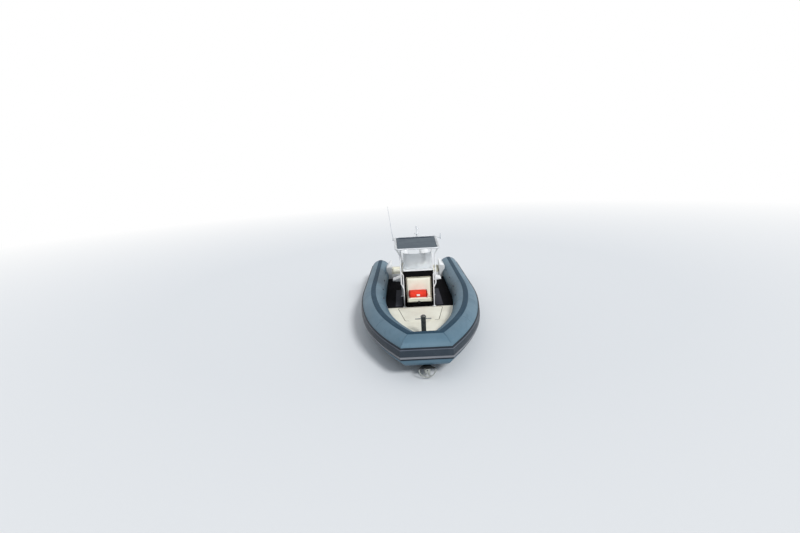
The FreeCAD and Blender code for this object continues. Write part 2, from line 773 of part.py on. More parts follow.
front_leg_tube = leg(S.front_leg, S.front_leg + 20, S.leg_foot_half)
rear_leg_tube = leg(S.rear_leg, S.rear_leg - S.rear_leg_rake, S.leg_half)
rail_level = 1260
rail_rear = S.rear_leg - S.rear_leg_rake * (rail_level - S.deck_height) / (S.canopy_height - 260 - S.deck_height)
rail = Part.makeCylinder(S.leg_radius, S.front_leg - rail_rear, Vector(rail_rear, S.leg_half, rail_level), X_AXIS)
hand_bar = bent_tube([
    Vector(S.front_leg, S.leg_foot_half, 1010),
    Vector(S.front_leg, S.leg_foot_half, 1450),
    Vector(S.front_leg + 8, S.leg_half, 1540),
], 0.7 * S.leg_radius, 60)
side_frame = fused([front_leg_tube, rear_leg_tube, rail, hand_bar]).cut(canopy_frame).cut(deck)
feature("side_frame_port", side_frame)
feature("side_frame_starboard", mirrored(side_frame))

inner = S.frame_radius + S.canopy_lace_gap
canopy_sheet = Part.Face(rounded_outline(
    S.canopy_rear + inner, S.canopy_front - inner, S.canopy_rear_half - inner, S.canopy_front_half - inner,
    S.canopy_corner - inner / 2, S.canopy_height - S.canopy_thickness / 2)).extrude(Vector(0, 0, S.canopy_thickness))
feature("canopy", canopy_sheet)

# Whip antenna on a folding mount, mast with dome and light, and a short aerial
whip_x = S.canopy_rear + 190
whip_y = -ring_half(whip_x) - S.frame_radius - 34
hinge_level = S.canopy_height + 18
mount_block = solid_box(whip_x - 26, whip_x + 26, whip_y - 22, -ring_half(whip_x), S.canopy_height - 60,
                        S.canopy_height - 18)
mount_cheek = solid_box(whip_x - 20, whip_x + 20, whip_y + 14, whip_y + 22, S.canopy_height - 60, hinge_level + 24)
mount_other = solid_box(whip_x - 20, whip_x + 20, whip_y - 22, whip_y - 14, S.canopy_height - 60, hinge_level + 24)
mount_pin = Part.makeCylinder(5, 44, Vector(whip_x, whip_y - 22, hinge_level), Y_AXIS)
feature("antenna_mount", fused([mount_block, mount_cheek, mount_other, mount_pin]).cut(canopy_frame))
whip_foot = Part.makeCylinder(12, 20, Vector(whip_x, whip_y - 10, hinge_level), Y_AXIS)
whip_base = Vector(whip_x, whip_y, hinge_level)
lean = math.radians(S.whip_lean)
whip_way = Vector(0, -math.sin(lean), math.cos(lean))
whip = [whip_foot]
for radius, first, last in ((9, 0, 70), (16, 60, 230), (11, 230, S.whip_length / 2), (8, S.whip_length / 2, S.whip_length)):
    whip.append(Part.makeCylinder(radius, last - first, whip_base + whip_way * first, whip_way))
whip = fused(whip)
whip = whip.cut(Part.makeCylinder(5 + S.running_gap, 60, Vector(whip_x, whip_y - 30, hinge_level), Y_AXIS))
feature("vhf_antenna", max(whip.Solids, key=lambda s: s.Volume))

mast_foot = Vector(S.canopy_rear, S.mast_shift, S.canopy_height)
mast_top = S.canopy_height + S.mast_height
mast = fused([
    Part.makeCylinder(15, S.mast_height - 40, mast_foot),
    Part.makeCylinder(S.dome_radius, 20, mast_foot + Vector(0, 0, 95)),
    Part.makeCylinder(0.8 * S.dome_radius, 45, mast_foot + Vector(0, 0, 115)),
    Part.makeCylinder(24, 50, Vector(S.canopy_rear, S.mast_shift, mast_top - 50)),
    solid_box(S.canopy_rear - 12, S.canopy_rear + 12, S.mast_shift, S.mast_shift + 70, mast_top - 110, mast_top - 92),
    Part.makeCylinder(12, 50, Vector(S.canopy_rear, S.mast_shift + 70, mast_top - 120)),
])
feature("light_mast", mast.cut(canopy_frame))

stub_y = ring_half(whip_x) + S.frame_radius + S.stub_reach
stub_foot = S.canopy_height - S.stub_height / 2 + 15
stub = fused([
    solid_box(whip_x - 15, whip_x + 15, ring_half(whip_x), stub_y, S.canopy_height - 45, S.canopy_height - 15),
    solid_box(whip_x - 15, whip_x + 15, ring_half(whip_x) - 15, ring_half(whip_x) + 50, S.canopy_height - 45, S.canopy_height + 12),
    Part.makeCylinder(21, S.stub_height - 60, Vector(whip_x, stub_y, stub_foot)),
    Part.makeCylinder(15, S.stub_height, Vector(whip_x, stub_y, stub_foot)),
])
feature("stub_antenna", stub.cut(canopy_frame))

# Helm seat: pod, cushion and backrest
helm_rear = S.helm_seat_front - S.helm_seat_depth
helm_cushion = 120
pod_top = S.helm_seat_top - helm_cushion - S.soft_gap
pod_half = S.helm_seat_width / 2
TRAY_UNDER, TRAY_LIP, TRAY_DROP = 150, 40, 110
pod_x = helm_rear + 30
pod_side = [
    Vector(pod_x, pod_half - 50, S.deck_height),
    Vector(pod_x, pod_half - 10, pod_top - TRAY_UNDER),
    Vector(pod_x, S.helm_tray_half, pod_top - TRAY_DROP + TRAY_LIP - 40),
    Vector(pod_x, S.helm_tray_half, pod_top - TRAY_DROP + TRAY_LIP),
    Vector(pod_x, pod_half + 60, pod_top),
]
pod_outline = rounded_polygon(pod_side + [Vector(p.x, -p.y, p.z) for p in reversed(pod_side)], 12)
pod = Part.Face(pod_outline).extrude(Vector(S.helm_seat_depth - 90, 0, 0))
feature("helm_seat_pod", pod)
cushion = block("helm_cushion_block", "helm_seat_depth - 110", "helm_seat_width", "%g" % helm_cushion,
                "helm_seat_front - helm_seat_depth + 110", "-helm_seat_width / 2", "helm_seat_top - %g" % helm_cushion)
finished(cushion, "helm_seat_cushion")
back = block("helm_back_block", "110 - soft_gap", "helm_seat_width", "helm_back_top - helm_seat_top + 120",
             "helm_seat_front - helm_seat_depth", "-helm_seat_width / 2", "helm_seat_top - 120")
finished(back, "helm_backrest")

# Stern bench between two upright wings
bench_front = S.bench_aft + S.bench_depth
bench_cushion = 110
base = solid_box(S.bench_aft, bench_front, -S.bench_width / 2, S.bench_width / 2, S.deck_height,
                 S.bench_seat_top - bench_cushion - S.soft_gap)
back_wall = solid_box(S.bench_aft, S.bench_aft + 40, -S.bench_width / 2, S.bench_width / 2, S.deck_height,
                      S.bench_back_top - 60)
wings = []
for side in (-1, 1):
    y = side * S.bench_width / 2
    outline = [Vector(S.bench_aft, y, S.deck_height), Vector(bench_front + 40, y, S.deck_height),
               Vector(bench_front + 120, y, S.wing_top - 150), Vector(bench_front + 20, y, S.wing_top),
               Vector(S.bench_aft + 60, y, S.wing_top), Vector(S.bench_aft, y, S.wing_top - 70)]
    wing = Part.Face(rounded_polygon(outline, 24)).extrude(Vector(0, side * S.wing_thickness, 0))
    shoulder = Vector(0, side * (S.bench_width / 2 + 45), S.wing_top)
    wings.append(wing.cut(half_space(shoulder, Vector(0, side * 0.74, 0.67))))
bench = fused([base, back_wall] + wings)
for cutter in collar_cutters:
    bench = bench.cut(cutter)
feature("stern_bench", bench)
cushion = block("bench_cushion_block", "bench_depth - 150", "bench_width - 20", "%g" % bench_cushion,
                "bench_aft + 150", "-bench_width / 2 + 10", "bench_seat_top - %g" % bench_cushion)
finished(cushion, "bench_cushion")
back = block("bench_back_block", "110 - 2 * soft_gap", "bench_width - 20", "bench_back_top - bench_seat_top + 110",
             "bench_aft + 40 + soft_gap", "-bench_width / 2 + 10", "bench_seat_top - 110")
finished(back, "bench_backrest")

# Steering wheel on a tilted shaft
tilt = math.radians(S.wheel_tilt)
wheel_way = Vector(-math.cos(tilt), 0, math.sin(tilt))
slope_share = (S.wheel_height - dash_bottom) / S.dash_slope_drop
shaft_foot = Vector(console_rear + DASH_RUN * slope_share, 0, S.wheel_height)
wheel_centre = shaft_foot + wheel_way * S.wheel_off_dash
hub_half = 20
column_length = S.wheel_off_dash - hub_half - S.moving_gap
column = fused([
    Part.makeCylinder(26, column_length + 30, shaft_foot - wheel_way * 30, wheel_way),
    Part.makeCylinder(S.wheel_shaft_radius, S.wheel_off_dash + hub_half, shaft_foot, wheel_way),
])
feature("helm_column", column.cut(console).cut(dash))
wheel_parts = [bar_ring(S.wheel_radius, S.wheel_rim, 360), Part.makeCylinder(38, 2 * hub_half, Vector(0, 0, -hub_half))]
for turn in (0, 120, 240):
    way = Vector(math.cos(math.radians(turn)), math.sin(math.radians(turn)), 0)
    wheel_parts.append(Part.makeCylinder(10, S.wheel_radius, Vector(0, 0, 0), way))
wheel = fused(wheel_parts).cut(Part.makeCylinder(S.wheel_shaft_radius + S.running_gap, 4 * hub_half, Vector(0, 0, -2 * hub_half)))
wheel.Placement = Placement(wheel_centre, Rotation(Z_AXIS, wheel_way))
feature("steering_wheel", wheel)

# Engine controls on the dash
lever_foot = Vector(console_rear + 300, -300, S.console_top)
levers = fused([
    solid_box(lever_foot.x - 60, lever_foot.x + 60, -350, -250, S.console_top, S.console_top + 45),
    Part.makeCylinder(9, 120, lever_foot + Vector(0, -25, 40), Vector(-0.3, 0, 1)),
    Part.makeCylinder(9, 120, lever_foot + Vector(0, 25, 40), Vector(-0.3, 0, 1)),
])
feature("throttle_levers", levers)

# Outboard engines
prop_axis = S.plate_height - S.prop_axis_below_plate


def section(x0, x1, half, z, share=0.35):
    """A level outline with its four corners cut by a share of the shorter half."""
    cut = share * min(half, (x1 - x0) / 2)
    side = [Vector(x1, half - cut, z), Vector(x1 - cut, half, z), Vector(x0 + cut, half, z), Vector(x0, half - cut, z)]
    return polygon(side + [Vector(p.x, -p.y, z) for p in reversed(side)])


GEARCASE_ROWS = [  # share of the case's radius, distance behind its nose
    (0.3, 0),
    (0.72, 30),
    (1.0, 120),
    (0.92, 410),
]


def outboard(side, word):
    """One engine, built at the keel line and moved out to its place."""
    out = Vector(0, side * S.engine_half_spacing, 0)

    def placed(label, shape):
        moved = shape.copy()
        moved.translate(out)
        return feature(label + "_" + word, moved)

    tilt_axis = Vector(-S.tilt_axis_aft, 0, S.tilt_axis_height)
    cheek_half = 118
    back_plate = solid_box(-22, 0, -cheek_half, cheek_half, 60, S.transom_top)
    cheeks = []
    for y in (-cheek_half, cheek_half - 24):
        face = Part.Face(polygon([
            Vector(-22, y, 60), Vector(-22, y, S.transom_top), Vector(-S.tilt_axis_aft + 40, y, S.tilt_axis_height + 38),
            Vector(-S.tilt_axis_aft - 34, y, S.tilt_axis_height + 30), Vector(-S.tilt_axis_aft - 40, y, 300),
            Vector(-60, y, 60)]))
        cheeks.append(face.extrude(Vector(0, 24, 0)))
    tilt_pin = Part.makeCylinder(S.tilt_pin_radius, 2 * cheek_half, tilt_axis - Vector(0, cheek_half, 0), Y_AXIS)
    placed("clamp_bracket", fused([back_plate, tilt_pin] + cheeks))

    swivel_half = cheek_half - 24 - S.moving_gap
    steer_x = -S.steer_axis_aft
    knuckle = Part.makeCylinder(36, 2 * swivel_half, tilt_axis - Vector(0, swivel_half, 0), Y_AXIS)
    web = Part.Face(polygon([
        Vector(-S.tilt_axis_aft - 10, -60, S.tilt_axis_height + 20), Vector(steer_x, -60, S.tilt_axis_height + 20),
        Vector(steer_x, -60, 140), Vector(steer_x + 50, -60, 140), Vector(-S.tilt_axis_aft - 30, -60, 420)]))
    web = web.extrude(Vector(0, 120, 0))
    steer_tube = Part.makeCylinder(S.steer_tube_radius, S.tilt_axis_height + 20 - 120, Vector(steer_x, 0, 120))
    swivel = fused([knuckle, web, steer_tube])
    swivel = swivel.cut(Part.makeCylinder(S.tilt_pin_radius + S.running_gap, 400, tilt_axis - Vector(0, 200, 0), Y_AXIS))
    swivel = swivel.cut(Part.makeCylinder(S.steer_pin_radius + S.running_gap, 900, Vector(steer_x, 0, 0)))
    placed("swivel_bracket", swivel)

    # Leg: steering pin, yokes, midsection, plate, gearcase, skeg and shaft
    yoke_top = S.tilt_axis_height + 20 + S.moving_gap
    steer_pin = Part.makeCylinder(S.steer_pin_radius, yoke_top + 20 - 90, Vector(steer_x, 0, 90))
    top_yoke = solid_box(steer_x - 180, steer_x + 40, -70, 70, yoke_top, S.cowl_bottom)
    low_yoke = solid_box(steer_x - 150, steer_x + 35, -50, 50, 120 - S.moving_gap - 40, 120 - S.moving_gap)
    sections = [
        section(steer_x - 330, steer_x - 78, 100, S.cowl_bottom),
        section(steer_x - 300, steer_x - 78, 82, 400),
        section(steer_x - 290, steer_x - 60, 62, 60),
        section(steer_x - 300, steer_x - 50, 46, S.plate_height),
        section(steer_x - 310, steer_x - 60, 30, prop_axis),
    ]
    middle = Part.makeLoft(sections, True, True)
    plate = Part.Face(rounded_outline(steer_x - 470, steer_x - 40, 120, 60, 40, S.plate_height)).extrude(Vector(0, 0, 12))
    gear_nose = steer_x + 10
    gear_end = steer_x - 400
    torpedo = turned([(60 * share, back) for share, back in GEARCASE_ROWS], Vector(0, 0, 0))
    torpedo.Placement = Placement(Vector(gear_nose, 0, prop_axis), Rotation(Z_AXIS, X_AXIS * -1))
    skeg = Part.Face(polygon([
        Vector(steer_x - 60, -7, prop_axis), Vector(steer_x - 230, -7, prop_axis - 245),
        Vector(steer_x - 320, -7, prop_axis - 245), Vector(steer_x - 370, -7, prop_axis)])).extrude(Vector(0, 14, 0))
    shaft = Part.makeCylinder(S.prop_shaft_radius, 165, Vector(gear_end + 20, 0, prop_axis), X_AXIS * -1)
    placed("engine_leg", fused([steer_pin, top_yoke, low_yoke, middle, plate, torpedo, skeg, shaft]))

    # Cowl: height share, front inset, rear inset, half-width share
    cowl_rows = [(0, 60, 120, 0.72), (0.1, 12, 40, 0.92), (0.45, 0, 0, 1.0), (0.8, 25, 25, 0.94), (1.0, 130, 140, 0.66)]
    cowl_rear = S.cowl_front - S.cowl_length
    sections = []
    for height, front_in, rear_in, width in cowl_rows:
        z = S.cowl_bottom + height * (S.cowl_top - S.cowl_bottom)
        sections.append(section(cowl_rear + rear_in, S.cowl_front - front_in, width * S.cowl_width / 2, z, 0.5))
    placed("engine_cowl", Part.makeLoft(sections, True, True))

    # Propeller: a round boss and three pitched blades with rounded tips
    hub_front = gear_end - S.moving_gap
    hub_length = 115
    centre = Vector(hub_front - hub_length / 2, 0, prop_axis)
    hub = Part.makeCylinder(0.9 * S.hub_radius, hub_length, Vector(hub_front, 0, prop_axis), X_AXIS * -1)
    blades = []
    for turn in (0, 120, 240):
        outline = [Vector(-28, 4, 20), Vector(28, 4, 20), Vector(68, 4, 0.62 * S.prop_radius),
                   Vector(40, 4, S.prop_radius), Vector(-40, 4, S.prop_radius), Vector(-58, 4, 0.55 * S.prop_radius)]
        blade = Part.Face(rounded_polygon(outline, 18)).extrude(Vector(0, -8, 0))
        blade.rotate(Vector(0, 0, 0), Z_AXIS, 38)
        blade.rotate(Vector(0, 0, 0), X_AXIS, turn)
        blade.translate(centre)
        blades.append(blade)
    prop = fused([hub] + blades)
    prop = prop.cut(Part.makeCylinder(S.prop_shaft_radius + S.running_gap, 400, Vector(hub_front + 50, 0, prop_axis), X_AXIS * -1))
    placed("propeller", prop)


outboard(1, "port")
outboard(-1, "starboard")

# Bow roller under the cross tube and the anchor that it holds
roller_at = Vector(CORNER.x + S.roller_reach, 0, collar_level(CORNER.x) - S.tube_radius - S.roller_drop)
cheek_half = S.roller_radius + 9
roller_root = CORNER.x - S.roller_root
roller_parts = [
    solid_box(roller_root, CORNER.x - 47, -cheek_half, cheek_half, roller_at.z - 30, roller_at.z - 22),
    Part.makeCylinder(9, 2 * cheek_half, roller_at - Vector(0, cheek_half, 0), Y_AXIS),
    Part.makeCylinder(S.roller_radius, 2 * S.roller_radius, roller_at - Vector(0, S.roller_radius, 0), Y_AXIS),
]
for side in (-1, 1):
    cheek_face = Part.Face(polygon([
        Vector(roller_root, 0, roller_at.z - 30), Vector(roller_at.x - 60, 0, roller_at.z - 30),
        Vector(roller_at.x - 20, 0, roller_at.z - 80), Vector(roller_at.x + 30, 0, roller_at.z - 80),
        Vector(roller_at.x + 30, 0, roller_at.z + 54), Vector(roller_root, 0, roller_at.z + 54)]))
    cheek = cheek_face.extrude(Vector(0, 8, 0))
    cheek.translate(Vector(0, cheek_half - 8 if side > 0 else -cheek_half, 0))
    inner, outer = side * (cheek_half - 4), side * (cheek_half + 32)
    flange = solid_box(roller_at.x + 22, roller_at.x + 30, min(inner, outer), max(inner, outer), roller_at.z - 80,
                       roller_at.z + 54)
    roller_parts += [cheek, flange]
roller = fused(roller_parts).cut(hull)
feature("bow_roller", roller)

# Roll-bar anchor, stowed fluke up with its shank on the roller
shank_low = roller_at.z + S.roller_radius + S.bond_gap
shank_high = shank_low + 38
heel_x = roller_at.x + S.anchor_reach
hoop_radius = S.anchor_width / 2 - S.anchor_bar
hoop = bar_ring(hoop_radius, S.anchor_bar, 180)
hoop.Placement = Placement(Vector(heel_x, 0, shank_high + S.anchor_plate / 2), Rotation(Y_AXIS, Z_AXIS * -1, X_AXIS * -1, "ZXY"))
fluke = Part.Face(polygon([
    Vector(heel_x - 325, 0, shank_high), Vector(heel_x - 60, -hoop_radius - 4, shank_high),
    Vector(heel_x + S.anchor_bar, -hoop_radius + 10, shank_high),
    Vector(heel_x + S.anchor_bar, hoop_radius - 10, shank_high), Vector(heel_x - 60, hoop_radius + 4, shank_high),
])).extrude(Vector(0, 0, S.anchor_plate))
shank = solid_box(heel_x - 335, heel_x, -9, 9, shank_low, shank_high)
feature("anchor", fused([shank, hoop, fluke]))

# Towing eyes: an upright lug on the stem and a level one each side of the transom
stem_eye_x = CORNER.x - S.stem_eye_aft
EYE_REACH = 70
EYES = [  # place on the hull, way out, turn about that way
    (Vector(stem_eye_x, 0, keel_level(stem_eye_x) - 4), Vector(0.6, 0, -0.8), 0),
    (Vector(0, S.stern_eye_half, S.stern_eye_height), Vector(-1, 0, 0), 90),
    (Vector(0, -S.stern_eye_half, S.stern_eye_height), Vector(-1, 0, 0), 90),
]
eyes = []
for place, way, turn in EYES:
    lug = Part.makeBox(EYE_REACH + 60, S.eye_thickness, 60, Vector(-60, -S.eye_thickness / 2, -30))
    lug = lug.fuse(Part.makeCylinder(30, S.eye_thickness, Vector(EYE_REACH, -S.eye_thickness / 2, 0), Y_AXIS))
    lug = lug.cut(Part.makeCylinder(S.eye_bore, 60, Vector(EYE_REACH, -30, 0), Y_AXIS))
    lug.rotate(Vector(0, 0, 0), X_AXIS, turn)
    lug.Placement = Placement(place, Rotation(X_AXIS, way)).multiply(lug.Placement)
    lug = lug.cut(hull)
    eyes.append(max(lug.Solids, key=lambda s: s.Volume))
feature("towing_eyes", Part.makeCompound(eyes))

# Grab handles along the inner tops of the tubes: x from the transom, on the panel that lies there
HANDLE_SHARES = (0.22, 0.36, 0.50, 0.62, 0.73)
handle_face = Part.Face(polygon([
    Vector(-S.handle_length / 2, 0, -8), Vector(S.handle_length / 2, 0, -8), Vector(S.handle_length / 2, 0, 5),
    Vector(S.handle_length / 2 - 30, 0, 5), Vector(S.handle_length / 2 - 45, 0, S.handle_height),
    Vector(45 - S.handle_length / 2, 0, S.handle_height), Vector(30 - S.handle_length / 2, 0, 5),
    Vector(-S.handle_length / 2, 0, 5)]))
handle_gap = Part.Face(polygon([
    Vector(-S.handle_length / 2 + 42, 0, 5), Vector(S.handle_length / 2 - 42, 0, 5),
    Vector(S.handle_length / 2 - 52, 0, S.handle_height - S.handle_bar),
    Vector(52 - S.handle_length / 2, 0, S.handle_height - S.handle_bar)]))
handle = handle_face.cut(handle_gap).extrude(Vector(0, S.handle_width, 0))
handle.translate(Vector(0, -S.handle_width / 2, 0))
handles = []
for share in HANDLE_SHARES:
    x = share * CORNER.x
    near, far = next((a, b) for a, b in zip(COLLAR, COLLAR[1:]) if x <= b.x)
    along = (far - near).normalize()
    out = Vector(-along.y, along.x, 0)
    turn = math.radians(S.handle_angle)
    skin = out * math.cos(turn) + Z_AXIS * math.sin(turn)
    one = handle.copy()
    one.Placement = Placement(Vector(x, collar_half_width(x), 0) + skin * S.tube_radius, Rotation(along, skin.cross(along), skin, "XZY"))
    one = sheered(one).cut(grown_port)
    handles += [one, mirrored(one)]
feature("grab_handles", Part.makeCompound(handles))

doc.recompute()
os.makedirs("parts", exist_ok=True)
for thing in sub_parts:
    if "Invalid" in thing.State or "Error" in thing.State:
        raise RuntimeError("failed: " + thing.Label)
    if thing.Shape.isNull() or not thing.Shape.isValid():
        raise RuntimeError("bad shape: " + thing.Label)
for thing in sub_parts:
    thing.Shape.exportStep("parts/" + thing.Label + ".step")
print("sub-parts", len(sub_parts), "solids", sum(len(t.Shape.Solids) for t in sub_parts))
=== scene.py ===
import json
import math

import bmesh
import bpy
from mathutils import Matrix, Vector
from mathutils.bvhtree import BVHTree


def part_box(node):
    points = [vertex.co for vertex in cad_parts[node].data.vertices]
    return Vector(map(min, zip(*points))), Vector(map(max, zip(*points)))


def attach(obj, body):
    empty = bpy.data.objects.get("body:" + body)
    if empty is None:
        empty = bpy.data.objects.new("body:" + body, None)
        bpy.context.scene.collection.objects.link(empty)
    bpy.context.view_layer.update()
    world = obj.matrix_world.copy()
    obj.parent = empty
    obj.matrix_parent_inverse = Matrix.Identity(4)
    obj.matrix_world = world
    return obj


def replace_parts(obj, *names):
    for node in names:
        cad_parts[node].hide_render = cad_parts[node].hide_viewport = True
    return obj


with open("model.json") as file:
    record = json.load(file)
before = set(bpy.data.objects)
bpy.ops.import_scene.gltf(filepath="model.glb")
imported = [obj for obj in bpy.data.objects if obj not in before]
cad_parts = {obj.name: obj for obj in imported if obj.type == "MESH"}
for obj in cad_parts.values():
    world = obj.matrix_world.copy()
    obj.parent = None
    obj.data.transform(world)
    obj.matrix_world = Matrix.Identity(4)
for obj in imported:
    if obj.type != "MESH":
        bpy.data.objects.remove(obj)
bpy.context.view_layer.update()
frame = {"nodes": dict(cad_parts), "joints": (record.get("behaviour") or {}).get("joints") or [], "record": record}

X_AXIS, Y_AXIS, Z_AXIS = Vector((1, 0, 0)), Vector((0, 1, 0)), Vector((0, 0, 1))

# Sizes in metres that the frame's boxes don't give
TUBE_RADIUS = 0.380
COLLAR_HALF_BEAM = 1.470
STRAIGHT_END = 4.330
MID_RADIUS, MID_ANGLE = 12.5, math.radians(12)
BOW_RADIUS, BOW_ANGLE = 6.6, math.radians(30)
CORNER_HALF_WIDTH = 0.370
COLLAR_HEIGHT, COLLAR_SHEER = 0.500, math.radians(0.95)
TAIL_X, CONE_END_X, CONE_END_RADIUS, TIP_X = -0.060, -0.340, 0.245, -0.424
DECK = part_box("deck")[1].z
FOREDECK, HATCH_FRONT, HATCH_FRONT_HALF, HATCH_BEND = 0.620, 7.086, 0.456, 0.062
CANOPY_REAR, CANOPY_FRONT, CANOPY_LEVEL = 3.170, 5.550, 2.330
RING_REAR_HALF, RING_FRONT_HALF, RING_BEND = 0.730, 0.660, 0.150
BAR_RADIUS, LEG_RADIUS, LEG_BEND = 0.024, 0.020, 0.060
LEG_FOOT_HALF, LEG_HALF, FRONT_LEG, REAR_LEG, REAR_RAKE = 0.470, 0.540, 5.205, 3.960, 0.320
KNEE_LOW, KNEE_HIGH, LEG_TOP, RAIL_LEVEL = 1.010, 1.160, CANOPY_LEVEL - 0.260, 1.260


# Materials

def srgb(red, green, blue):
    """A colour from 0-255 values as the linear one that a shader takes."""
    def linear(c):
        return c / 12.92 if c <= 0.04045 else ((c + 0.055) / 1.055) ** 2.4
    return (*(linear(c / 255) for c in (red, green, blue)), 1.0)


def feed(tree, socket, value):
    """Links another node's output to a socket, or sets a number or colour on it."""
    if isinstance(value, bpy.types.NodeSocket):
        tree.links.new(value, socket)
    else:
        socket.default_value = value


def add_node(tree, kind, output, inputs, **settings):
    """Adds a node, feeds its inputs and gives one of its outputs."""
    node = tree.nodes.new(kind)
    for key, value in settings.items():
        setattr(node, key, value)
    for key, value in inputs.items():
        feed(tree, node.inputs[key], value)
    return node.outputs[output]


class Finish:
    """A Principled material; each of its calls adds detail and gives the finish back.

    A pattern is noise's scale, detail and stretch, or another texture's name and its own numbers.
    """

    def __init__(self, name, colour, roughness=0.5, metallic=0.0, specular=0.5, coat=0.0, **sockets):
        self.material = bpy.data.materials.new(name)
        self.material.use_nodes = True
        self.tree = self.material.node_tree
        self.shader = self.tree.nodes["Principled BSDF"].inputs
        self.colour, self.relief = srgb(*colour), None
        sockets.update(Base_Color=self.colour, Roughness=roughness, Metallic=metallic,
                       Specular_IOR_Level=specular, Coat_Weight=coat)
        for socket, value in sockets.items():
            self.shader[socket.replace("_", " ")].default_value = value
        self.coordinates = self.add("ShaderNodeTexCoord", "Object", {})

    def add(self, kind, output, inputs, **settings):
        return add_node(self.tree, kind, output, inputs, **settings)

    def mapped(self, stretch=(1, 1, 1)):
        return self.add("ShaderNodeMapping", "Vector", {"Scale": stretch, "Vector": self.coordinates})

    def noise(self, scale, detail=4.0, stretch=(1, 1, 1)):
        return self.add("ShaderNodeTexNoise", "Fac", {"Scale": scale, "Detail": detail,
                                                      "Vector": self.mapped(stretch)})

    def wave(self, scale, axis, profile="SIN"):
        return self.add("ShaderNodeTexWave", "Fac", {"Scale": scale, "Vector": self.mapped()},
                        bands_direction=axis, wave_profile=profile)

    def cells(self, scale):
        return self.add("ShaderNodeTexVoronoi", "Distance", {"Scale": scale, "Vector": self.mapped()})

    def texture(self, pattern):
        pattern = pattern if isinstance(pattern, tuple) else (pattern,)
        if isinstance(pattern[0], str):
            return {"cells": self.cells, "wave": self.wave}[pattern[0]](*pattern[1:])
        return self.noise(*pattern)

    def ranged(self, value, low, high, start=0.0, stop=1.0):
        return self.add("ShaderNodeMapRange", "Result", {"From Min": start, "From Max": stop, "To Min": low,
                                                         "To Max": high, "Value": value})

    def blend(self, pattern, second, start=0.45, stop=0.8, amount=1.0):
        """Mixes a second colour in where the pattern is high."""
        node = self.tree.nodes.new("ShaderNodeMix")
        node.data_type = "RGBA"
        below, above = [s for s in node.inputs if s.type == "RGBA"]
        feed(self.tree, below, self.colour)
        feed(self.tree, above, srgb(*second))
        feed(self.tree, node.inputs["Factor"], self.ranged(self.texture(pattern), 0, amount, start, stop))
        self.colour = [s for s in node.outputs if s.type == "RGBA"][0]
        feed(self.tree, self.shader["Base Color"], self.colour)
        return self

    def bump(self, pattern, distance, strength=0.5):
        """Adds relief of the given depth in metres."""
        inputs = {"Distance": distance, "Strength": strength, "Height": self.texture(pattern)}
        if self.relief:
            inputs["Normal"] = self.relief
        self.relief = self.add("ShaderNodeBump", "Normal", inputs)
        feed(self.tree, self.shader["Normal"], self.relief)
        return self

    def roughen(self, pattern, low, high):
        feed(self.tree, self.shader["Roughness"], self.ranged(self.texture(pattern), low, high))
        return self

    def woven(self, threads, depth):
        """Over-and-under threads, so many to the metre."""
        for axis, strength in (("X", 0.5), ("Y", 0.5), ("Z", 0.4)):
            self.bump(("wave", threads, axis), depth, strength)
        return self


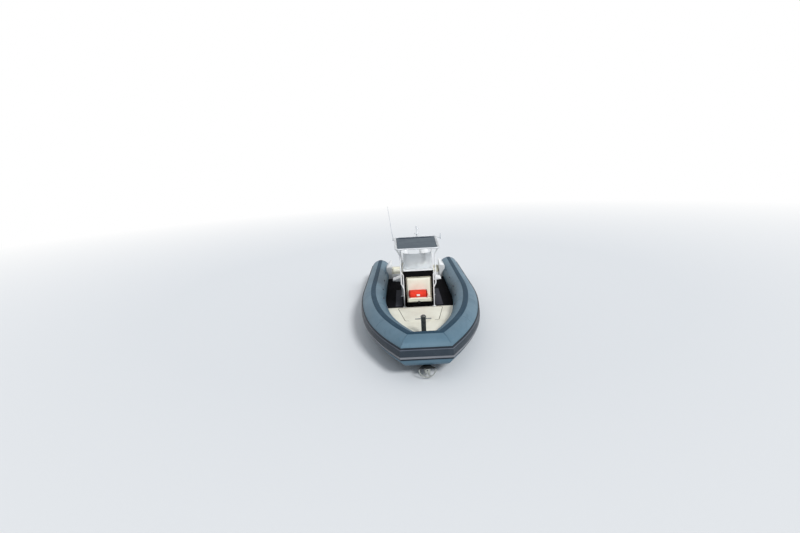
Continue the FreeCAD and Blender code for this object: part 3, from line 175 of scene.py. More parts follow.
LOOKS = {
    "tube": Finish("tube_cloth", (84, 112, 129), 0.46, specular=0.26)
        .blend((1.1, 5), (95, 123, 140), 0.42, 0.68).blend((7, 6, (0.3, 1, 1)), (70, 96, 112), 0.55, 0.8, 0.5)
        .blend((60, 3), (109, 136, 151), 0.62, 0.85, 0.25).roughen(5, 0.38, 0.6)
        .woven(420, 0.0002).bump((2.2, 3), 0.004, 0.35),
    "tape": Finish("seam_tape", (78, 106, 123), 0.5, specular=0.26)
        .blend((9, 4), (70, 97, 114), 0.4, 0.75).woven(420, 0.0002),
    "strip": Finish("wear_strip_rubber", (35, 62, 80), 0.6, specular=0.12)
        .blend((2.5, 5), (45, 72, 90), 0.45, 0.75).blend((40, 3), (28, 51, 67), 0.55, 0.8, 0.5)
        .bump(("cells", 260), 0.0008, 0.6),
    "hull": Finish("hull_gelcoat", (58, 68, 78), 0.25, coat=0.4)
        .blend((1.6, 5, (0.4, 1, 2)), (72, 84, 94)).roughen(6, 0.18, 0.36).bump((30, 2), 0.0006, 0.3),
    "cream": Finish("cream_gelcoat", (232, 229, 214), 0.34, coat=0.25)
        .blend((2, 5), (222, 218, 200)).blend((26, 4), (206, 200, 180), 0.62, 0.9, 0.35)
        .roughen(9, 0.26, 0.44).bump((60, 2), 0.0003, 0.3),
    "grip": Finish("cream_non_slip", (238, 236, 221), 0.6)
        .blend((1.6, 6), (221, 217, 200), 0.42, 0.78).blend((18, 5), (198, 192, 172), 0.6, 0.85, 0.4)
        .bump(("cells", 150), 0.0012, 0.8),
    "white": Finish("white_gelcoat", (238, 240, 241), 0.28, coat=0.3)
        .blend((3, 5), (226, 229, 231)).roughen(8, 0.2, 0.38).bump((50, 2), 0.0003, 0.3),
    "mat": Finish("deck_mat", (13, 13, 16), 0.9, specular=0.04)
        .blend((1.8, 6), (23, 23, 27), 0.42, 0.75).blend((30, 4), (9, 9, 11), 0.5, 0.8, 0.6)
        .bump(("wave", 14, "Y", "SAW"), 0.0012).bump((220, 3), 0.0006, 0.6),
    "panel": Finish("deck_panel", (61, 62, 69), 0.8, specular=0.08)
        .blend((4, 5), (72, 73, 80), 0.4, 0.75).bump(("cells", 160), 0.001, 0.7),
    "black": Finish("console_black", (9, 9, 10), 0.3, specular=0.06)
        .blend((5, 5), (16, 16, 17), 0.5, 0.85).roughen(12, 0.14, 0.34).bump((40, 2), 0.0003, 0.25),
    "satin": Finish("black_satin", (38, 38, 38), 0.42)
        .blend((8, 5), (58, 58, 57), 0.5, 0.85).roughen(20, 0.3, 0.55).bump((160, 3), 0.0002),
    "post": Finish("post_black", (50, 52, 50), 0.24, coat=0.7)
        .blend((9, 5), (64, 66, 64), 0.5, 0.85).roughen(16, 0.18, 0.34).bump((120, 3), 0.0002, 0.4),
    "dull": Finish("dull_steel", (134, 138, 139), 0.36, 1.0).blend((14, 5), (112, 116, 117))
        .roughen((22, 4, (1, 8, 8)), 0.28, 0.46).bump((110, 3), 0.0002, 0.4),
    "zinc": Finish("galvanised", (158, 161, 156), 0.5, 0.25)
        .blend(("cells", 60), (138, 142, 139), 0.3, 0.7).roughen(30, 0.4, 0.6).bump((160, 3), 0.0002),
    "seal": Finish("hatch_seal", (92, 87, 76), 0.6, specular=0.2)
        .blend((30, 4), (74, 70, 62), 0.4, 0.8).bump((300, 2), 0.0003),
    # Painted shade: dark cloth colour for the canopy's rear, which lies in shadow
    "rear_painted_shade": Finish("canopy_rear_painted_shade", (46, 52, 66), 0.85, specular=0.15)
        .blend((20, 5), (56, 66, 80), 0.42, 0.75).woven(520, 0.0003),
    "vinyl": Finish("cream_vinyl", (237, 236, 220), 0.5, Sheen_Weight=0.15)
        .blend((4, 5), (228, 225, 206), 0.42, 0.78).blend((36, 4), (208, 201, 178), 0.62, 0.9, 0.35)
        .bump(("cells", 420), 0.0005).bump((12, 3), 0.0015, 0.3),
    "piping": Finish("vinyl_piping", (214, 208, 186), 0.5)
        .blend((20, 4), (196, 189, 166), 0.4, 0.8).bump((400, 2), 0.0003),
    "red": Finish("red_cloth", (233, 62, 42), 0.7, specular=0.2)
        .blend((9, 5), (212, 46, 32), 0.42, 0.75).woven(500, 0.0004).bump((10, 3), 0.003, 0.4),
    "patch": Finish("white_patch", (236, 234, 230), 0.6)
        .blend((30, 4), (220, 216, 210), 0.4, 0.8).woven(700, 0.0002),
    "strap": Finish("strap_webbing", (116, 28, 22), 0.75, specular=0.2)
        .blend((30, 4), (92, 22, 18), 0.4, 0.8).woven(620, 0.0004),
    "canvas": Finish("canopy_canvas", (90, 99, 107), 0.85, specular=0.15)
        .blend((2.4, 6), (99, 109, 116), 0.42, 0.75).blend((24, 5), (78, 87, 96), 0.55, 0.85, 0.5)
        .woven(520, 0.0003).bump((5, 3), 0.003, 0.3),
    "hem": Finish("canopy_hem", (70, 79, 88), 0.85, specular=0.15)
        .blend((24, 4), (60, 69, 78), 0.4, 0.8).woven(520, 0.0004),
    "lace": Finish("lacing", (226, 228, 228), 0.7)
        .blend((60, 3), (200, 202, 202), 0.4, 0.8).bump(("wave", 300, "DIAGONAL"), 0.0006, 0.8),
    "paint": Finish("white_powder_coat", (240, 242, 243), 0.24, coat=0.5)
        .blend((6, 5), (228, 231, 233), 0.5, 0.85).roughen(14, 0.18, 0.34).bump((220, 2), 0.0002, 0.3),
    # Painted shade: a greyer copy of the legs' white powder coat, for the ring in the canvas's shadow
    "painted_shade_ring_coat": Finish("ring_powder_coat_painted_shade", (216, 219, 223), 0.3, coat=0.3)
        .blend((6, 5), (200, 203, 208)).roughen(14, 0.24, 0.4).bump((220, 2), 0.0002, 0.3),
    "steel": Finish("stainless", (196, 200, 204), 0.24, 1.0).blend((12, 5), (168, 173, 178))
        .roughen((18, 4, (1, 8, 8)), 0.16, 0.36).bump((90, 3, (1, 12, 12)), 0.0002, 0.4),
    "grey": Finish("painted_bracket", (84, 88, 92), 0.4)
        .blend((10, 5), (102, 106, 110)).bump((120, 3), 0.0003),
    "cowl": Finish("cowl_paint", (236, 238, 240), 0.16, coat=0.8)
        .blend((2, 5), (224, 228, 232), 0.5, 0.85).roughen(10, 0.1, 0.24).bump((40, 2), 0.0002, 0.25),
    "lamp": Finish("lamp_lens", (222, 226, 230), 0.12, coat=0.6)
        .blend((40, 3), (208, 213, 218), 0.4, 0.8).bump(("wave", 90, "Z"), 0.0008),
    "aerial": Finish("aerial_sleeve", (206, 211, 215), 0.3, coat=0.3)
        .blend((30, 4), (190, 195, 200), 0.4, 0.8).bump((160, 2), 0.0002, 0.4),
    "screen": Finish("screen_glass", (16, 22, 30), 0.1, coat=0.8)
        .blend((7, 4), (28, 38, 50), 0.5, 0.8).roughen(30, 0.06, 0.16),
    # Painted reflection: the pale, mostly opaque white stands in for glare on the clear acrylic
    "shield": Finish("acrylic_painted_reflection", (244, 247, 249), 0.05, Transmission_Weight=0.5, IOR=1.2, Alpha=0.82)
        .blend((3, 4), (232, 239, 243)).roughen((24, 5), 0.03, 0.12),
}
# The light ridge's pale grey and the upper line's lighter grey are painted highlights of sun on the rubber
for key, colour, worn in (("strake", (48, 57, 66), (59, 68, 77)), ("strake_dark", (26, 34, 43), (36, 44, 53)),
                          ("strake_line", (84, 91, 103), (96, 102, 112)),
                          ("strake_painted_highlight", (122, 125, 131), (108, 112, 119))):
    look = Finish(key + "_rubber", colour, 0.42, specular=0.16)
    LOOKS[key] = look.blend((3, 5, (0.5, 1, 1)), worn).roughen(14, 0.32, 0.58).bump((300, 3), 0.0003)


# Making and joining meshes

def placed(name, data):
    """A new object in the scene."""
    thing = bpy.data.objects.new(name, data)
    bpy.context.scene.collection.objects.link(thing)
    return thing


def piece(name, mesh, material, body="boat", smooth=40.0):
    """A mesh, or a list joined, as a piece that rides on a body, smooth below an angle in degrees."""
    mesh = joined(mesh) if isinstance(mesh, list) else mesh
    thing = placed(name, mesh)
    mesh.name = name
    mesh.materials.clear()
    mesh.materials.append(LOOKS[material].material)
    if smooth:
        mesh.shade_smooth()
        mesh.set_sharp_from_angle(angle=math.radians(smooth))
    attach(thing, body)
    return thing


def mesh_of(vertices, faces):
    mesh = bpy.data.meshes.new("mesh")
    mesh.from_pydata([tuple(v) for v in vertices], [], faces)
    mesh.validate()
    return mesh


def mesh_from(work):
    """The mesh that bmesh work gives, which ends it."""
    mesh = bpy.data.meshes.new("mesh")
    work.to_mesh(mesh)
    work.free()
    return mesh


def reworked(mesh, *steps):
    """Runs bmesh steps on a mesh, in its place."""
    work = bmesh.new()
    work.from_mesh(mesh)
    for step in steps:
        step(work)
    work.to_mesh(mesh)
    work.free()
    return mesh


def lofted(rings, closed_ring=True, closed_path=False, caps=True):
    """A mesh through rings of as many points each, its faces turned outwards."""
    count, vertices, faces = len(rings[0]), [p for ring in rings for p in ring], []
    for i in range(len(rings) if closed_path else len(rings) - 1):
        j = (i + 1) % len(rings)
        for k in range(count if closed_ring else count - 1):
            n = (k + 1) % count
            faces.append((i * count + k, i * count + n, j * count + n, j * count + k))
    if caps and closed_ring and not closed_path:
        faces.append(tuple(reversed(range(count))))
        faces.append(tuple((len(rings) - 1) * count + k for k in range(count)))
    return reworked(mesh_of(vertices, faces),
                    lambda work: bmesh.ops.recalc_face_normals(work, faces=work.faces))


def with_modifiers(mesh, *modifiers):
    """The mesh that (type, settings) modifiers give."""
    thing = placed("work", mesh)
    for kind, settings in modifiers:
        modifier = thing.modifiers.new(kind, kind)
        for key, value in settings.items():
            setattr(modifier, key, value)
    bpy.context.view_layer.update()
    graph = bpy.context.evaluated_depsgraph_get()
    result = bpy.data.meshes.new_from_object(thing.evaluated_get(graph), depsgraph=graph)
    bpy.data.objects.remove(thing)
    return result


SUBDIVIDED = ("SUBSURF", dict(levels=1, render_levels=1))


def rounded(width, segments=3):
    return ("BEVEL", dict(width=width, segments=segments, limit_method="ANGLE", angle_limit=math.radians(35),
                          harden_normals=False))


def thick(depth):
    return ("SOLIDIFY", dict(thickness=depth, offset=0.0))


def node_mesh(node):
    """A clean copy of a CAD node's mesh, its flat faces whole again."""
    return reworked(frame["nodes"][node].data.copy(),
                    lambda work: bmesh.ops.remove_doubles(work, verts=work.verts, dist=1e-5),
                    lambda work: bmesh.ops.dissolve_limit(work, angle_limit=math.radians(1.0), verts=work.verts,
                                                          edges=work.edges))


def softened(node, material, width=0.006, segments=3):
    """A CAD node with its edges rounded, in its place."""
    mesh = with_modifiers(node_mesh(node), rounded(width, segments))
    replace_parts(piece(node + "_skin", mesh, material, body_named(node)), node)


def body_named(node):
    groups = frame["record"]["behaviour"]["bodies"]
    return next(body for body, members in groups.items() if node in members)


def box_mesh(low, high, width=0.005, segments=3):
    """A block with rounded edges between two corners."""
    low, high = Vector(low), Vector(high)
    work = bmesh.new()
    bmesh.ops.create_cube(work, size=1.0)
    for vertex in work.verts:
        vertex.co = Vector([low[i] + (vertex.co[i] + 0.5) * (high[i] - low[i]) for i in range(3)])
    bmesh.ops.bevel(work, geom=work.edges[:], offset=width, segments=segments, profile=0.5, affect="EDGES")
    return mesh_from(work)


def angles(steps, start=0.0, end=360.0):
    """Radians at even steps between two angles in degrees; a full turn leaves its end out."""
    count = steps if end - start == 360 else steps + 1
    return [math.radians(start + (end - start) * k / steps) for k in range(count)]


def swung(first, second, angle):
    """The direction at an angle from the first towards the second."""
    return first * math.cos(angle) + second * math.sin(angle)


def turned(rows, centre, way=Z_AXIS, steps=48):
    """A lathe form from (radius, height) rows along a direction."""
    rotation = Z_AXIS.rotation_difference(way).to_matrix()
    return lofted([[Vector(centre) + rotation @ Vector((radius * math.cos(t), radius * math.sin(t), height))
                          for t in angles(steps)] for radius, height in rows])


def dome_rows(radius, foot, height, steps, closing=0.0002):
    """Rows of a domed end on a lathe form."""
    return [(radius * math.cos(t) + closing, foot + height * math.sin(t)) for t in angles(steps, 0, 90)[1:]]


def eased(points, bend, steps=10):
    """The route with its corners turned along arcs."""
    points = [Vector(p) for p in points]
    route = [points[0]]
    for before, here, after in zip(points, points[1:], points[2:]):
        back, ahead = (before - here).normalized(), (after - here).normalized()
        turn = math.pi - back.angle(ahead)
        if turn < 1e-4:
            route.append(here)
            continue
        reach = bend * math.tan(turn / 2)
        centre = here + (back + ahead).normalized() * (bend / math.cos(turn / 2))
        first, last = here + back * reach - centre, here + ahead * reach - centre
        for i in range(steps + 1):
            near, far = math.sin((1 - i / steps) * turn), math.sin(i / steps * turn)
            route.append(centre + (first * near + last * far) / math.sin(turn))
    return route + [points[-1]]


def bar_mesh(route, radius, sides=20, closed=False):
    """A round bar along a route of points."""
    route, rings, across = [Vector(p) for p in route], [], None
    for i, here in enumerate(route):
        before = route[i - 1] if i or closed else here
        after = route[(i + 1) % len(route)] if i < len(route) - 1 or closed else here
        way = (after - before).normalized()
        across = across or way.orthogonal().normalized()
        across = (across - way * across.dot(way)).normalized()
        rings.append([here + swung(across, way.cross(across), t) * radius for t in angles(sides)])
    return lofted(rings, closed_path=closed)


def joined(meshes):
    """One mesh from several."""
    work = bmesh.new()
    for mesh in meshes:
        work.from_mesh(mesh)
        bpy.data.meshes.remove(mesh)
    return mesh_from(work)


def mirrored_mesh(mesh):
    """The same mesh on the other side of the keel line."""
    other = mesh.copy()
    other.transform(Matrix.Scale(-1, 4, Y_AXIS))
    other.flip_normals()
    return other


# Collar: rings along the tubes that every swept piece shares

def on_circle(centre, radius, heading):
    return Vector((centre.x + radius * math.sin(heading), centre.y + radius * math.cos(heading), 0))


def flip(v):
    return Vector((v.x, -v.y, v.z))


def collar_stations():
    """(centre, outward direction) along the port tube, stern to mitre, in the collar's own plane."""
    mid_centre = Vector((STRAIGHT_END, COLLAR_HALF_BEAM - MID_RADIUS, 0))
    bow_centre = on_circle(mid_centre, MID_RADIUS - BOW_RADIUS, MID_ANGLE)
    bow_end = on_circle(bow_centre, BOW_RADIUS, BOW_ANGLE)
    run = (bow_end.y - CORNER_HALF_WIDTH) / math.sin(BOW_ANGLE)
    corner = bow_end + Vector((math.cos(BOW_ANGLE), -math.sin(BOW_ANGLE), 0)) * run
    stations = [(Vector((TAIL_X + i * (STRAIGHT_END - TAIL_X) / 12, COLLAR_HALF_BEAM, 0)), Y_AXIS) for i in range(12)]
    for centre, radius, first, last, steps in ((mid_centre, MID_RADIUS, 0, MID_ANGLE, 10),
                                               (bow_centre, BOW_RADIUS, MID_ANGLE, BOW_ANGLE, 14)):
        for i in range(steps):
            heading = first + (last - first) * i / steps
            stations.append((on_circle(centre, radius, heading), swung(Y_AXIS, X_AXIS, heading)))
    out = swung(Y_AXIS, X_AXIS, BOW_ANGLE)
    mitre = (out + X_AXIS).normalized() / math.cos((math.pi / 2 - BOW_ANGLE) / 2)
    return stations + [(bow_end, out), (bow_end.lerp(corner, 0.5), out), (corner, mitre)]


PORT_STATIONS = collar_stations()
CORNER = PORT_STATIONS[-1][0]
SHEER = Matrix.Translation((0, 0, COLLAR_HEIGHT)) @ Matrix.Rotation(-COLLAR_SHEER, 4, "Y")


def all_stations():
    """The stations from the port stern round the bow to the starboard stern."""
    bow = [(Vector((CORNER.x, CORNER.y * share, 0)), X_AXIS) for share in (0.5, 0, -0.5)]
    return PORT_STATIONS + bow + [(flip(centre), flip(out)) for centre, out in reversed(PORT_STATIONS)]


def on_tube(station, angle, radius):
    """A point on a station's ring: angle 0 outboard, 90 on top."""
    centre, out = station
    return SHEER @ (centre + swung(out, Z_AXIS, math.radians(angle)) * radius)


def tail_rows():
    """(x, radius) of the aft cone and its domed cap, from the tip forward."""
    rows = [(CONE_END_X - (CONE_END_X - TIP_X) * math.cos(t), CONE_END_RADIUS * (0.12 + 0.88 * math.sin(t)))
            for t in angles(6, 0, 90)]
    return rows + [(CONE_END_X + (TAIL_X - CONE_END_X) * share,
                    CONE_END_RADIUS + (TUBE_RADIUS - CONE_END_RADIUS) * share) for share in (0.25, 0.5, 0.75, 0.93)]


def collar_rows(first=0):
    """(station, radius) round the whole collar, its aft cones from their first row on."""
    tail = [((Vector((x, COLLAR_HALF_BEAM, 0)), Y_AXIS), radius) for x, radius in tail_rows()[first:]]
    return (tail + [(station, TUBE_RADIUS) for station in all_stations()]
            + [((flip(centre), flip(out)), radius) for (centre, out), radius in reversed(tail)])


def build_collar():
    rings = [[on_tube(station, 360 * k / 64, radius) for k in range(64)] for station, radius in collar_rows()]
    collar = piece("collar", lofted(rings), "tube")
    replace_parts(collar, "tube_port", "tube_starboard", "tube_bow")

    # Glued seam tapes across the tubes, and one to each side of the mitre
    tapes, round_tube = [], [35 + 240 * k / 40 for k in range(41)]
    for i in (5, 12, 20, 29):
        centre, out = PORT_STATIONS[i]
        ahead = Vector((out.y, -out.x, 0))
        rings = [[on_tube((centre + ahead * shift, out), angle, TUBE_RADIUS + lift) for angle in round_tube]
                 for shift, lift in ((-0.016, 0.0), (-0.013, 0.0014), (0.013, 0.0014), (0.016, 0.0))]
        tapes.append(lofted(rings, closed_ring=False))
    before, mitre = PORT_STATIONS[-2:]
    for ahead in ((before[0] - mitre[0]).normalized(), Y_AXIS * -1):
        rings = [[on_tube(mitre, angle, TUBE_RADIUS + lift) + ahead * shift for angle in round_tube]
                 for shift, lift in ((0.0, 0.002), (0.020, 0.002), (0.024, 0.0))]
        tapes.append(lofted(rings, closed_ring=False))
    piece("seam_tapes", tapes + [mirrored_mesh(mesh) for mesh in tapes], "tape")

    # The ribbed strip along the top, as (degrees from the top, height)
    half = math.degrees(0.075 / TUBE_RADIUS)
    profile = [(-half, -0.002), (-half, 0.003), (0.8 - half, 0.006)]
    profile += [(half * j / 10, 0.0045 if j % 2 else 0.006) for j in range(-9, 10)]
    profile += [(half - 0.8, 0.006), (half, 0.003), (half, -0.002)]
    rings = [[on_tube(station, 90 + angle * TUBE_RADIUS / radius, radius + height) for angle, height in profile]
             for station, radius in collar_rows(4)]
    strip = piece("wear_strip_skin", lofted(rings), "strip", smooth=25)
    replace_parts(strip, "wear_strip")

    # The strake's bands as (degrees above outboard, height); each overlaps the next at its root
    aft = (Vector((0.0, COLLAR_HALF_BEAM, 0)), Y_AXIS)
    ends = [aft] + [s for s in all_stations() if abs(s[0].x) > 0.1] + [(flip(aft[0]), flip(aft[1]))]
    ribs = []
    for i in range(6):
        low = -7 + 22 * i / 6
        ribs += [(low + 0.3, 0.0105), (low + 0.8, 0.0135), (low + 2.9, 0.0135), (low + 3.4, 0.0105)]
    bands = {}
    for name, key, profile in (
            ("strake_top", "strake_dark", [(18.4, 0.0), (18.4, 0.018), (18.9, 0.023), (20.0, 0.024), (22.4, 0.023),
                                           (23.5, 0.018), (24, 0.010), (24, 0.0)]),
            # The upper line's lighter grey is a painted highlight
            ("strake_upper_line", "strake_line", [(15, 0.0), (15, 0.016), (15.6, 0.020), (17.4, 0.021), (18.3, 0.018),
                                                  (18.5, 0.0)]),
            ("strake_field", "strake", [(-7.2, 0.0), (-7.2, 0.010)] + ribs + [(15.2, 0.010), (15.2, 0.0)]),
            # The ridge's pale grey is a painted highlight
            ("strake_ridge", "strake_painted_highlight", [(-14.1, 0.0), (-14.1, 0.018), (-13.4, 0.025), (-11.6, 0.028),
                                              (-9.4, 0.028), (-7.6, 0.024), (-7, 0.016), (-7, 0.0)]),
            ("strake_foot", "strake_dark", [(-20, 0.0), (-20, 0.010), (-19.4, 0.017), (-18, 0.020), (-16, 0.020),
                                            (-14.6, 0.016), (-14, 0.010), (-14, 0.0)])):
        rings = [[on_tube(station, angle, TUBE_RADIUS + height) for angle, height in reversed(profile)]
                 for station in ends]
        bands[name] = piece(name, lofted(rings), key, smooth=25)
    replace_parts(bands["strake_field"], "rub_strake")


build_collar()


# Hull and decks

def build_hull():
    softened("hull", "hull", 0.008, 2)
    deck = frame["nodes"]["deck"].data
    deck.materials.clear()
    deck.materials.append(LOOKS["mat"].material)
    softened("transom", "cream", 0.01)
    softened("foredeck", "grip", 0.008)
    softened("foredeck_hatch", "grip", 0.004)
    softened("towing_eyes", "steel", 0.003, 2)
    softened("bow_roller", "zinc", 0.0015, 2)
    softened("grab_handles", "strake_line", 0.003, 2)

    # Rubber lip round the hatch, open at the hinges
    low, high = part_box("foredeck_hatch")
    aft, wide = low.x - 0.006, high.y + 0.006
    port = [(HATCH_FRONT, HATCH_FRONT_HALF - 0.10, 0), (HATCH_FRONT, HATCH_FRONT_HALF, 0), (aft, wide, 0)]
    route = eased(port + [(x, -y, z) for x, y, z in reversed(port)], HATCH_BEND)
    middle, rings = Vector((6.5, 0, 0)), []
    for i, here in enumerate(route):
        way = (route[min(i + 1, len(route) - 1)] - route[max(i - 1, 0)]).normalized()
        out = Vector((-way.y, way.x, 0))
        if out.dot(here - middle) < 0:
            out = -out
        rings.append([here + out * s + Z_AXIS * (FOREDECK + h) for s, h in (
            (-0.001, -0.012), (-0.001, 0.001), (0.001, 0.003), (0.011, 0.003), (0.014, 0.0), (0.014, -0.002),
            (0.001, -0.012))])
    piece("hatch_lip", lofted(rings), "seal")

    # Grey walkway panels in the side decks
    for name, side in (("deck_panel_port", 1), ("deck_panel_starboard", -1)):
        near, far = sorted((side * 0.545, side * 0.765))
        piece(name, box_mesh((3.16, near, DECK - 0.002), (5.10, far, DECK + 0.004), 0.002, 2), "panel")


build_hull()


# Bow gear

def build_bow_gear():
    low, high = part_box("mooring_post")
    x, foot, height = (low.x + high.x) / 2, low.z, high.z - low.z
    radius, cap = 0.062, 0.0694
    flange = 1.45 * radius
    rows = [(0.0, 0), (flange - 0.003, 0), (flange, 0.003), (flange, 0.009), (flange - 0.003, 0.012),
            (radius + 0.008, 0.013), (radius + 0.002, 0.019), (radius, 0.028), (radius, height - 0.072),
            (cap - 0.002, height - 0.068), (cap, height - 0.064), (cap, height - 0.05)]
    rows += dome_rows(cap, height - 0.05, 0.05, 8, 0.0001)
    post = piece("mooring_post_skin", turned(rows, (x, 0, foot)), "post")
    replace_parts(post, "mooring_post")
    bolt = [(0.0, 0), (0.005, 0), (0.005, 0.003), (0.003, 0.005), (0.0, 0.005)]
    piece("post_bolts", [turned(bolt, (x + 0.079 * math.cos(t), 0.079 * math.sin(t), foot + 0.012), steps=12)
                         for t in angles(6, 30, 390)], "steel")

    # The pin through the post, grooved, with a ring at each side of the post
    low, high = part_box("mooring_pin")
    z = (low.z + high.z) / 2
    rows = [(0.0, 0), (0.010, 0), (0.013, 0.003)]
    for start, end in ((0.134, 0.137), (0.263, 0.266)):
        rows += [(0.013, start), (0.0115, start), (0.0115, end), (0.013, end)]
    rows += [(0.013, 0.397), (0.010, 0.4), (0.0, 0.4)]
    pin = piece("mooring_pin_skin", turned(rows, (x, low.y, z), Y_AXIS, 28), "dull")
    ring = [(0.0117, -0.001), (0.0165, -0.001), (0.0165, 0.001), (0.0117, 0.001)]
    piece("pin_rings", [turned(ring, (x, side * 0.0645, z), Y_AXIS, 28) for side in (-1, 1)], "steel")
    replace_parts(pin, "mooring_pin")

    # The anchor under the bow: roll bar, fluke with its shank, and the web between them
    low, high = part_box("anchor")
    bar = 0.013
    radius, heel, level = (high.y - low.y) / 2 - bar, high.x - bar, high.z - 0.005
    hoop = [(heel, radius * math.cos(t), level - radius * math.sin(t)) for t in angles(36, 0, 180)]
    outline = [(-0.325, 0.0), (-0.24, 0.075), (-0.14, 0.140), (-0.075, radius + 0.004), (-0.045, radius - 0.004),
               (-0.045, -radius + 0.004), (-0.075, -radius - 0.004), (-0.14, -0.140), (-0.24, -0.075)]
    rings = [[(heel + a, b, level - 0.004 + s + abs(b) * 0.02) for a, b in outline] for s in (-0.001, 0.009)]
    # The fluke and shank are black satin as painted shade for the shadow under the bow
    piece("anchor_fluke", [
        with_modifiers(lofted(rings), rounded(0.002, 2)),
        box_mesh((heel - 0.335, -0.009, level - 0.043), (heel, 0.009, level - 0.004), 0.004)], "satin")
    web = []
    for first, last, bottom in ((-0.045, -0.012, 0.115), (0.012, 0.062, 0.150)):
        outline = [(first, -0.02), (last, -0.02), (last + 0.004, -0.07), (last - 0.004, -bottom),
                   (first + 0.003, -bottom), (first - 0.003, -0.07)]
        rings = [[(heel - 0.012 + s, b, level + h) for b, h in outline] for s in (-0.005, 0.005)]
        web.append(with_modifiers(lofted(rings), rounded(0.002, 2)))
    arch = [(heel - 0.012, 0.0085 + 0.046 * math.cos(t), level - 0.024 + 0.020 * math.sin(t))
            for t in angles(12, 0, 180)]
    piece("anchor_web", web + [bar_mesh(arch, 0.011, 12)], "zinc")
    anchor = piece("anchor_skin", bar_mesh(hoop, bar), "zinc")
    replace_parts(anchor, "anchor")


build_bow_gear()


# Soft goods: crowned pads blown up by a cloth simulation

PADS = []
PAD_INSET = Vector((0.006, 0.006, 0.006))
PROUD = (0.004, 0.004, 0.008)
FRAMES = 20
CLOTH = dict(quality=4, mass=0.25, tension_stiffness=12, compression_stiffness=12, bending_stiffness=0.4,
             use_pressure=True, uniform_pressure_force=4.0)


def pad(name, node, material="vinyl", fill=0.7, cap=0.016, voxel=0.012, corner=0.022):
    """A pad in a CAD cushion's place that starts a little small; inflate() swells it."""
    low, high = (Vector(corner_point) for corner_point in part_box(node))
    block = box_mesh(low + PAD_INSET, high - PAD_INSET, corner, 4)
    mesh = with_modifiers(block, ("REMESH", dict(mode="VOXEL", voxel_size=voxel, use_smooth_shade=True)))
    thing = piece(name, mesh, material, body_named(node), smooth=0)
    mesh.shade_smooth()
    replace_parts(thing, node)
    PADS.append((thing, low, high, fill, cap))


def inflate():
    """Runs one cloth simulation over all the pads and keeps its result."""
    scene = bpy.context.scene
    for thing, *_ in PADS:
        cloth = thing.modifiers.new("Cloth", "CLOTH")
        for key, value in CLOTH.items():
            setattr(cloth.settings, key, value)
        cloth.settings.effector_weights.gravity = 0.0
        cloth.collision_settings.use_collision = False
        cloth.point_cache.frame_start, cloth.point_cache.frame_end = 1, FRAMES
    for number in range(1, FRAMES + 1):
        scene.frame_set(number)
    for thing, low, high, fill, cap in PADS:
        graph = bpy.context.evaluated_depsgraph_get()
        result = [v.co.copy() for v in thing.evaluated_get(graph).data.vertices]
        thing.modifiers.clear()
        for vertex, end in zip(thing.data.vertices, result):
            move = end - vertex.co
            if move.length > cap:
                move = move.normalized() * cap
            place = vertex.co + move
            vertex.co = Vector([min(max(place[i], low[i] - PROUD[i]), high[i] + PROUD[i]) for i in range(3)])
        thing.data = with_modifiers(thing.data, SUBDIVIDED)
        thing.data.name = thing.name
        thing.data.shade_smooth()
    scene.frame_set(1)


def groove(thing, places, face_axis=2, width=0.009, depth=0.006):
    """Presses sewn channels into a pad's face, at places across the boat."""
    top = max(v.co[face_axis] for v in thing.data.vertices)
    for vertex in thing.data.vertices:
        if vertex.co[face_axis] < top - 0.05:
            continue
        for place in places:
            gap = abs(vertex.co.y - place)
            if gap < 3 * width:
                vertex.co[face_axis] -= depth * math.exp(-(gap / width) ** 2)


def piping_loop(low, high, level_axis, level, radius=0.0045, corner=0.03):
    """A piped seam round a pad, level on one axis."""
    a, b = [i for i in range(3) if i != level_axis]
    route = []
    for i, (u, v) in enumerate(((low[a], low[b]), (high[a], low[b]), (high[a], high[b]), (low[a], high[b]))):
        centre_u = u + corner * (1 if u == low[a] else -1)
        centre_v = v + corner * (1 if v == low[b] else -1)
        for t in angles(6, 180 + 90 * i, 270 + 90 * i):
            point = Vector((level, level, level))
            point[a], point[b] = centre_u + corner * math.cos(t), centre_v + corner * math.sin(t)
            route.append(point)
    return bar_mesh(route, radius, 8, closed=True)


pad("seat_cushion", "front_seat_cushion")
pad("seat_backrest", "front_backrest")
pad("red_bolster", "bolster", "red", fill=0.85, cap=0.024, voxel=0.010, corner=0.06)
pad("helm_cushion", "helm_seat_cushion", voxel=0.016)
pad("helm_back", "helm_backrest", voxel=0.016)
pad("bench_seat", "bench_cushion", voxel=0.016)
pad("bench_back", "bench_backrest", voxel=0.016)
inflate()


def webbing(route, half):
    """A flat strap through points, half its width to each side given as a vector."""
    rings = [[p + half * side for side in (-1, 1)] for p in route]
    return with_modifiers(lofted(rings, closed_ring=False, caps=False), thick(0.003))


